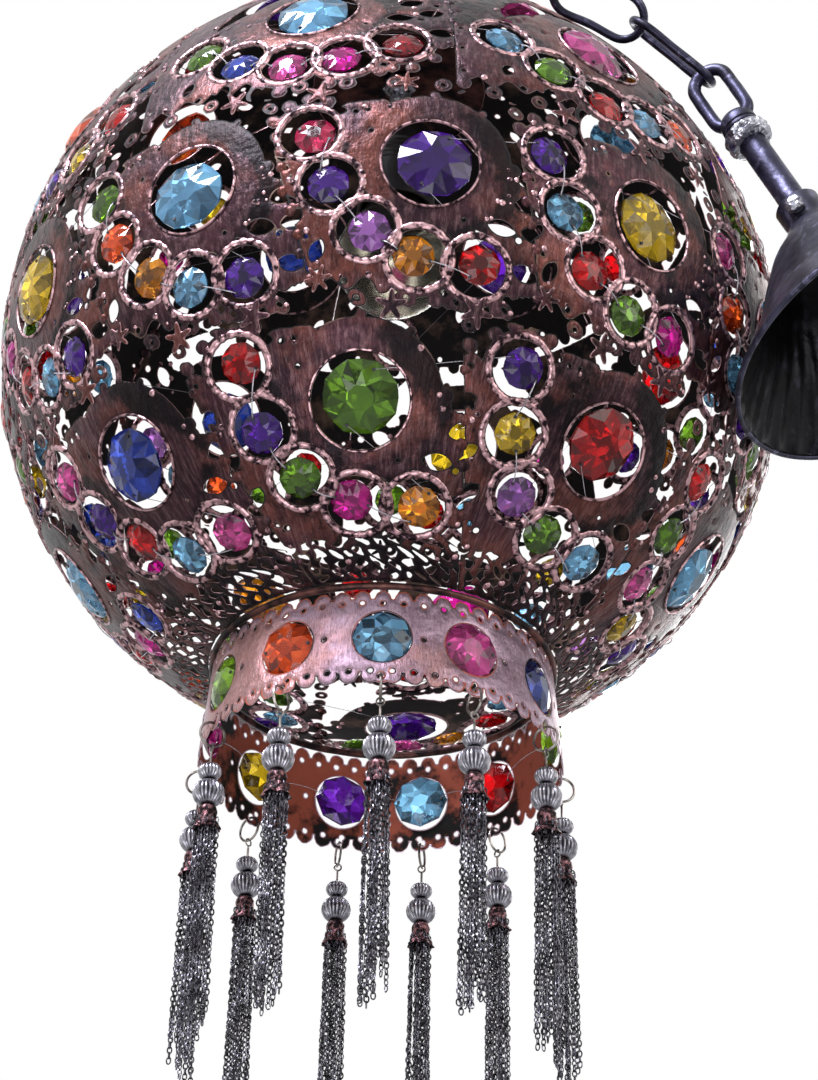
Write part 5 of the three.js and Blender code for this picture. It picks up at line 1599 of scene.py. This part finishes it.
top = end + SEAT
end = top + STEM_LENGTH
profile = [(STEM_BORE, top), (STEM_RADIUS, top), (6.75, top + 30), (STEM_RADIUS, end - 8), (7.2, end - 6.6),
           (9.2, end - 6), (FOOT_RADIUS, end - 5), (FOOT_RADIUS, end - 0.6), (8.9, end), (STEM_BORE, end),
           (STEM_BORE, top)]
show_turned("stem_tube_drawn", profile[::-1], 48, forged, ["stem_tube"], "gunmetal",
            body="stem", matrix=stem_matrix, sharp=40)


def hammered(angles, k):
    return 1 + 0.035 * np.sin(7 * angles + 1.7 * k) * np.sin(3 * angles - k) - 0.02


profile = [(RING_BORE, top), (9.6, top + 0.2), (11.2, top + 1.3), (11.5, top + 2.6), (10.6, top + 4.2),
           (10.9, top + 5.0), (11.4, top + 6.2), (11.0, top + 7.8), (9.4, top + 8.8), (RING_BORE, top + 9.0),
           (RING_BORE, top)]
profile = np.vstack([smooth_line(profile[1:-2], 3), profile[-2:-1], profile[:2]])
show_turned("lock_ring_hammered", profile[::-1], 60, hammered_zinc, ["lock_ring"], "zinc", hammered,
            body="stem", matrix=stem_matrix)

# The bell: how far down and how far out, as shares of its depth and radius
BELL = [(0, 0.17), (0.1, 0.26), (0.2, 0.37), (0.4, 0.52), (0.6, 0.66), (0.8, 0.84), (0.93, 0.95)]
NECK = 11.0
NECK_HEIGHT = 16.0
BELL_DEPTH = 76.0
BELL_RADIUS = 77.0
BELL_SHEET = 1.6
BELL_BORE = 7.1
BELL_FLUTES = 34
BELL_SIDES = BELL_FLUTES * 6
ROLL_RADIUS = 1.3
low = end - 6.0 - SEAT
high = low - NECK_HEIGHT
rim_z = low + BELL_DEPTH
outside = [(out * BELL_RADIUS, low + drop * BELL_DEPTH) for drop, out in BELL]
outside = smooth_line(outside + [(BELL_RADIUS - 0.4, rim_z - 2.6)], 5)
inside = [(out * BELL_RADIUS - BELL_SHEET, low + drop * BELL_DEPTH + BELL_SHEET * (1 - drop))
          for drop, out in BELL[1:]]
inside = smooth_line(inside + [(BELL_RADIUS - 2.6, rim_z - 2.4)], 5)
roll = [spot_at(ROLL_RADIUS, t, (BELL_RADIUS - ROLL_RADIUS, rim_z - ROLL_RADIUS))
        for t in np.linspace(-0.9, 3.6, 9)]
neck_part = [(BELL_BORE, high), (10.4, high), (NECK, high + 0.8), (10.9, high + 12.0), (11.6, low - 1.0)]
shell = neck_part + [tuple(p) for p in outside[1:]] + roll + [tuple(p) for p in inside[::-1]]
shell += [(10.2, low + 0.4), (BELL_BORE, low), (BELL_BORE, high)]
last = len(shell) - 1
first_inside = len(neck_part) + len(outside) - 1 + len(roll)


def bell_flutes(angles, k):
    """Flutes on the inside only. The profile is turned from its last pair to its first."""
    number = last - k
    share = min(1.0, max(0.0, ((shell[number][1] - low) / BELL_DEPTH - 0.30) / 0.3))
    if number >= first_inside:
        return 1 - 0.020 * share * (0.5 + 0.5 * np.cos(BELL_FLUTES * angles)) ** 1.5
    return 1.0


points, faces = turned(shell[::-1], BELL_SIDES, bell_flutes)
kinds = [int(first_inside - 2 < last - index // BELL_SIDES < last) for index in range(len(faces))]
bell = Shape().add(points, faces, kinds)
show_shape("canopy_bell_spun", bell, [bell_outside, shaded_bell_inside], ["canopy_bell"], "gunmetal", "canopy",
           stem_matrix, 40)

SHANK = 2.1
HEAD = 4.4
tip = BELL_BORE
head = NECK + SEAT
profile = [(0, tip), (1.7, tip), (SHANK, tip + 0.5), (SHANK, head), (4.2, head), (HEAD, head + 0.5),
           (HEAD, head + 2.4), (3.9, head + 3.4), (2.6, head + 4.0), (0, head + 4.2)]
points, faces = turned(profile, 24)
screw = Shape().add(points[:, [2, 1, 0]] * [1, 1, -1] + np.array([0, 0, (high + low) / 2]), faces)
show_shape("set_screw_domed", screw, [hammered_zinc], ["set_screw"], "zinc", "screw", stem_matrix, 40)

# Camera at the photograph's place
HEIGHT = 1080
FOCAL = 2527.0
SENSOR = 36.0
CAMERA_PLACE = (0.0105, -1.0037, -0.9833)
camera_data = bpy.data.cameras.new("camera")
camera_data.sensor_width = SENSOR
camera_data.lens = FOCAL / HEIGHT * SENSOR
camera_data.clip_start = 0.05
camera_data.clip_end = 50.0
camera = new_object("camera", camera_data)
bpy.context.scene.camera = camera
pitch, roll_angle = math.radians(32.75), math.radians(1.22)
forward = Vector((0, math.cos(pitch), math.sin(pitch)))
right = Vector((1, 0, 0))
up = right.cross(forward)
tilted_right = math.cos(roll_angle) * right + math.sin(roll_angle) * up
tilted_up = math.cos(roll_angle) * up - math.sin(roll_angle) * right
camera.matrix_world = matrix_of(tilted_right, tilted_up, -forward, CAMERA_PLACE)

# Floor in metres, as far below as a ceiling light hangs above it, light and background
FLOOR_Z = -3.0
FLOOR_REACH = 9.0
floor_mesh = bpy.data.meshes.new("floor")
floor_corners = [(x * FLOOR_REACH, y * FLOOR_REACH, FLOOR_Z) for x, y in ((-1, -1), (1, -1), (1, 1), (-1, 1))]
floor_mesh.from_pydata(floor_corners, [], [(0, 1, 2, 3)])
floor = new_object("floor", floor_mesh)
n = new_material("pale_floor")
floor_glow = n.maths("MULTIPLY", n.node("LightPath").outputs["Is Camera Ray"], 0.4)
floor_tone = n.ramp(n.noise(3), (0.4, 0.80), (0.6, 0.82))
floor_mesh.materials.append(n.finish(floor_tone, 0.9, Emission_Strength=floor_glow))

LAMP_AIM = Vector((0.0, 0.0, -0.25))


def lamp(name, place, size, energy, colour):
    data = bpy.data.lights.new(name, "AREA")
    data.shape = "SQUARE"
    data.size = size
    data.energy = energy
    data.color = colour
    item = new_object(name, data)
    item.location = place
    item.rotation_mode = "QUATERNION"
    item.rotation_quaternion = (LAMP_AIM - Vector(place)).to_track_quat("-Z", "Y")


lamp("key", (-0.9, -1.2, 1.45), 1.0, 112, (0.88, 0.89, 1.0))
lamp("fill", (1.6, -1.3, 0.1), 1.2, 12, (1.0, 0.94, 0.88))
lamp("low", (-0.2, -1.1, -1.1), 0.8, 7, (0.96, 0.95, 1.0))
lamp("back", (0.6, 1.8, 0.7), 1.4, 24, (1.0, 1.0, 1.0))

n = Nodes(bpy.data.worlds.new("studio"))
bpy.context.scene.world = n.owner
rays = n.node("LightPath").outputs
seen = n.maths("ADD", rays["Is Camera Ray"], rays["Is Glossy Ray"])
seen = n.maths("ADD", seen, rays["Is Transmission Ray"], True)
strength = n.feed(n.node("MapRange"), To_Min=0.42, To_Max=1.0, Value=seen).outputs["Result"]
n.feed(n.tree.nodes["Background"], Strength=strength, Color="ffffff")

bpy.context.scene.view_settings.view_transform = "Standard"
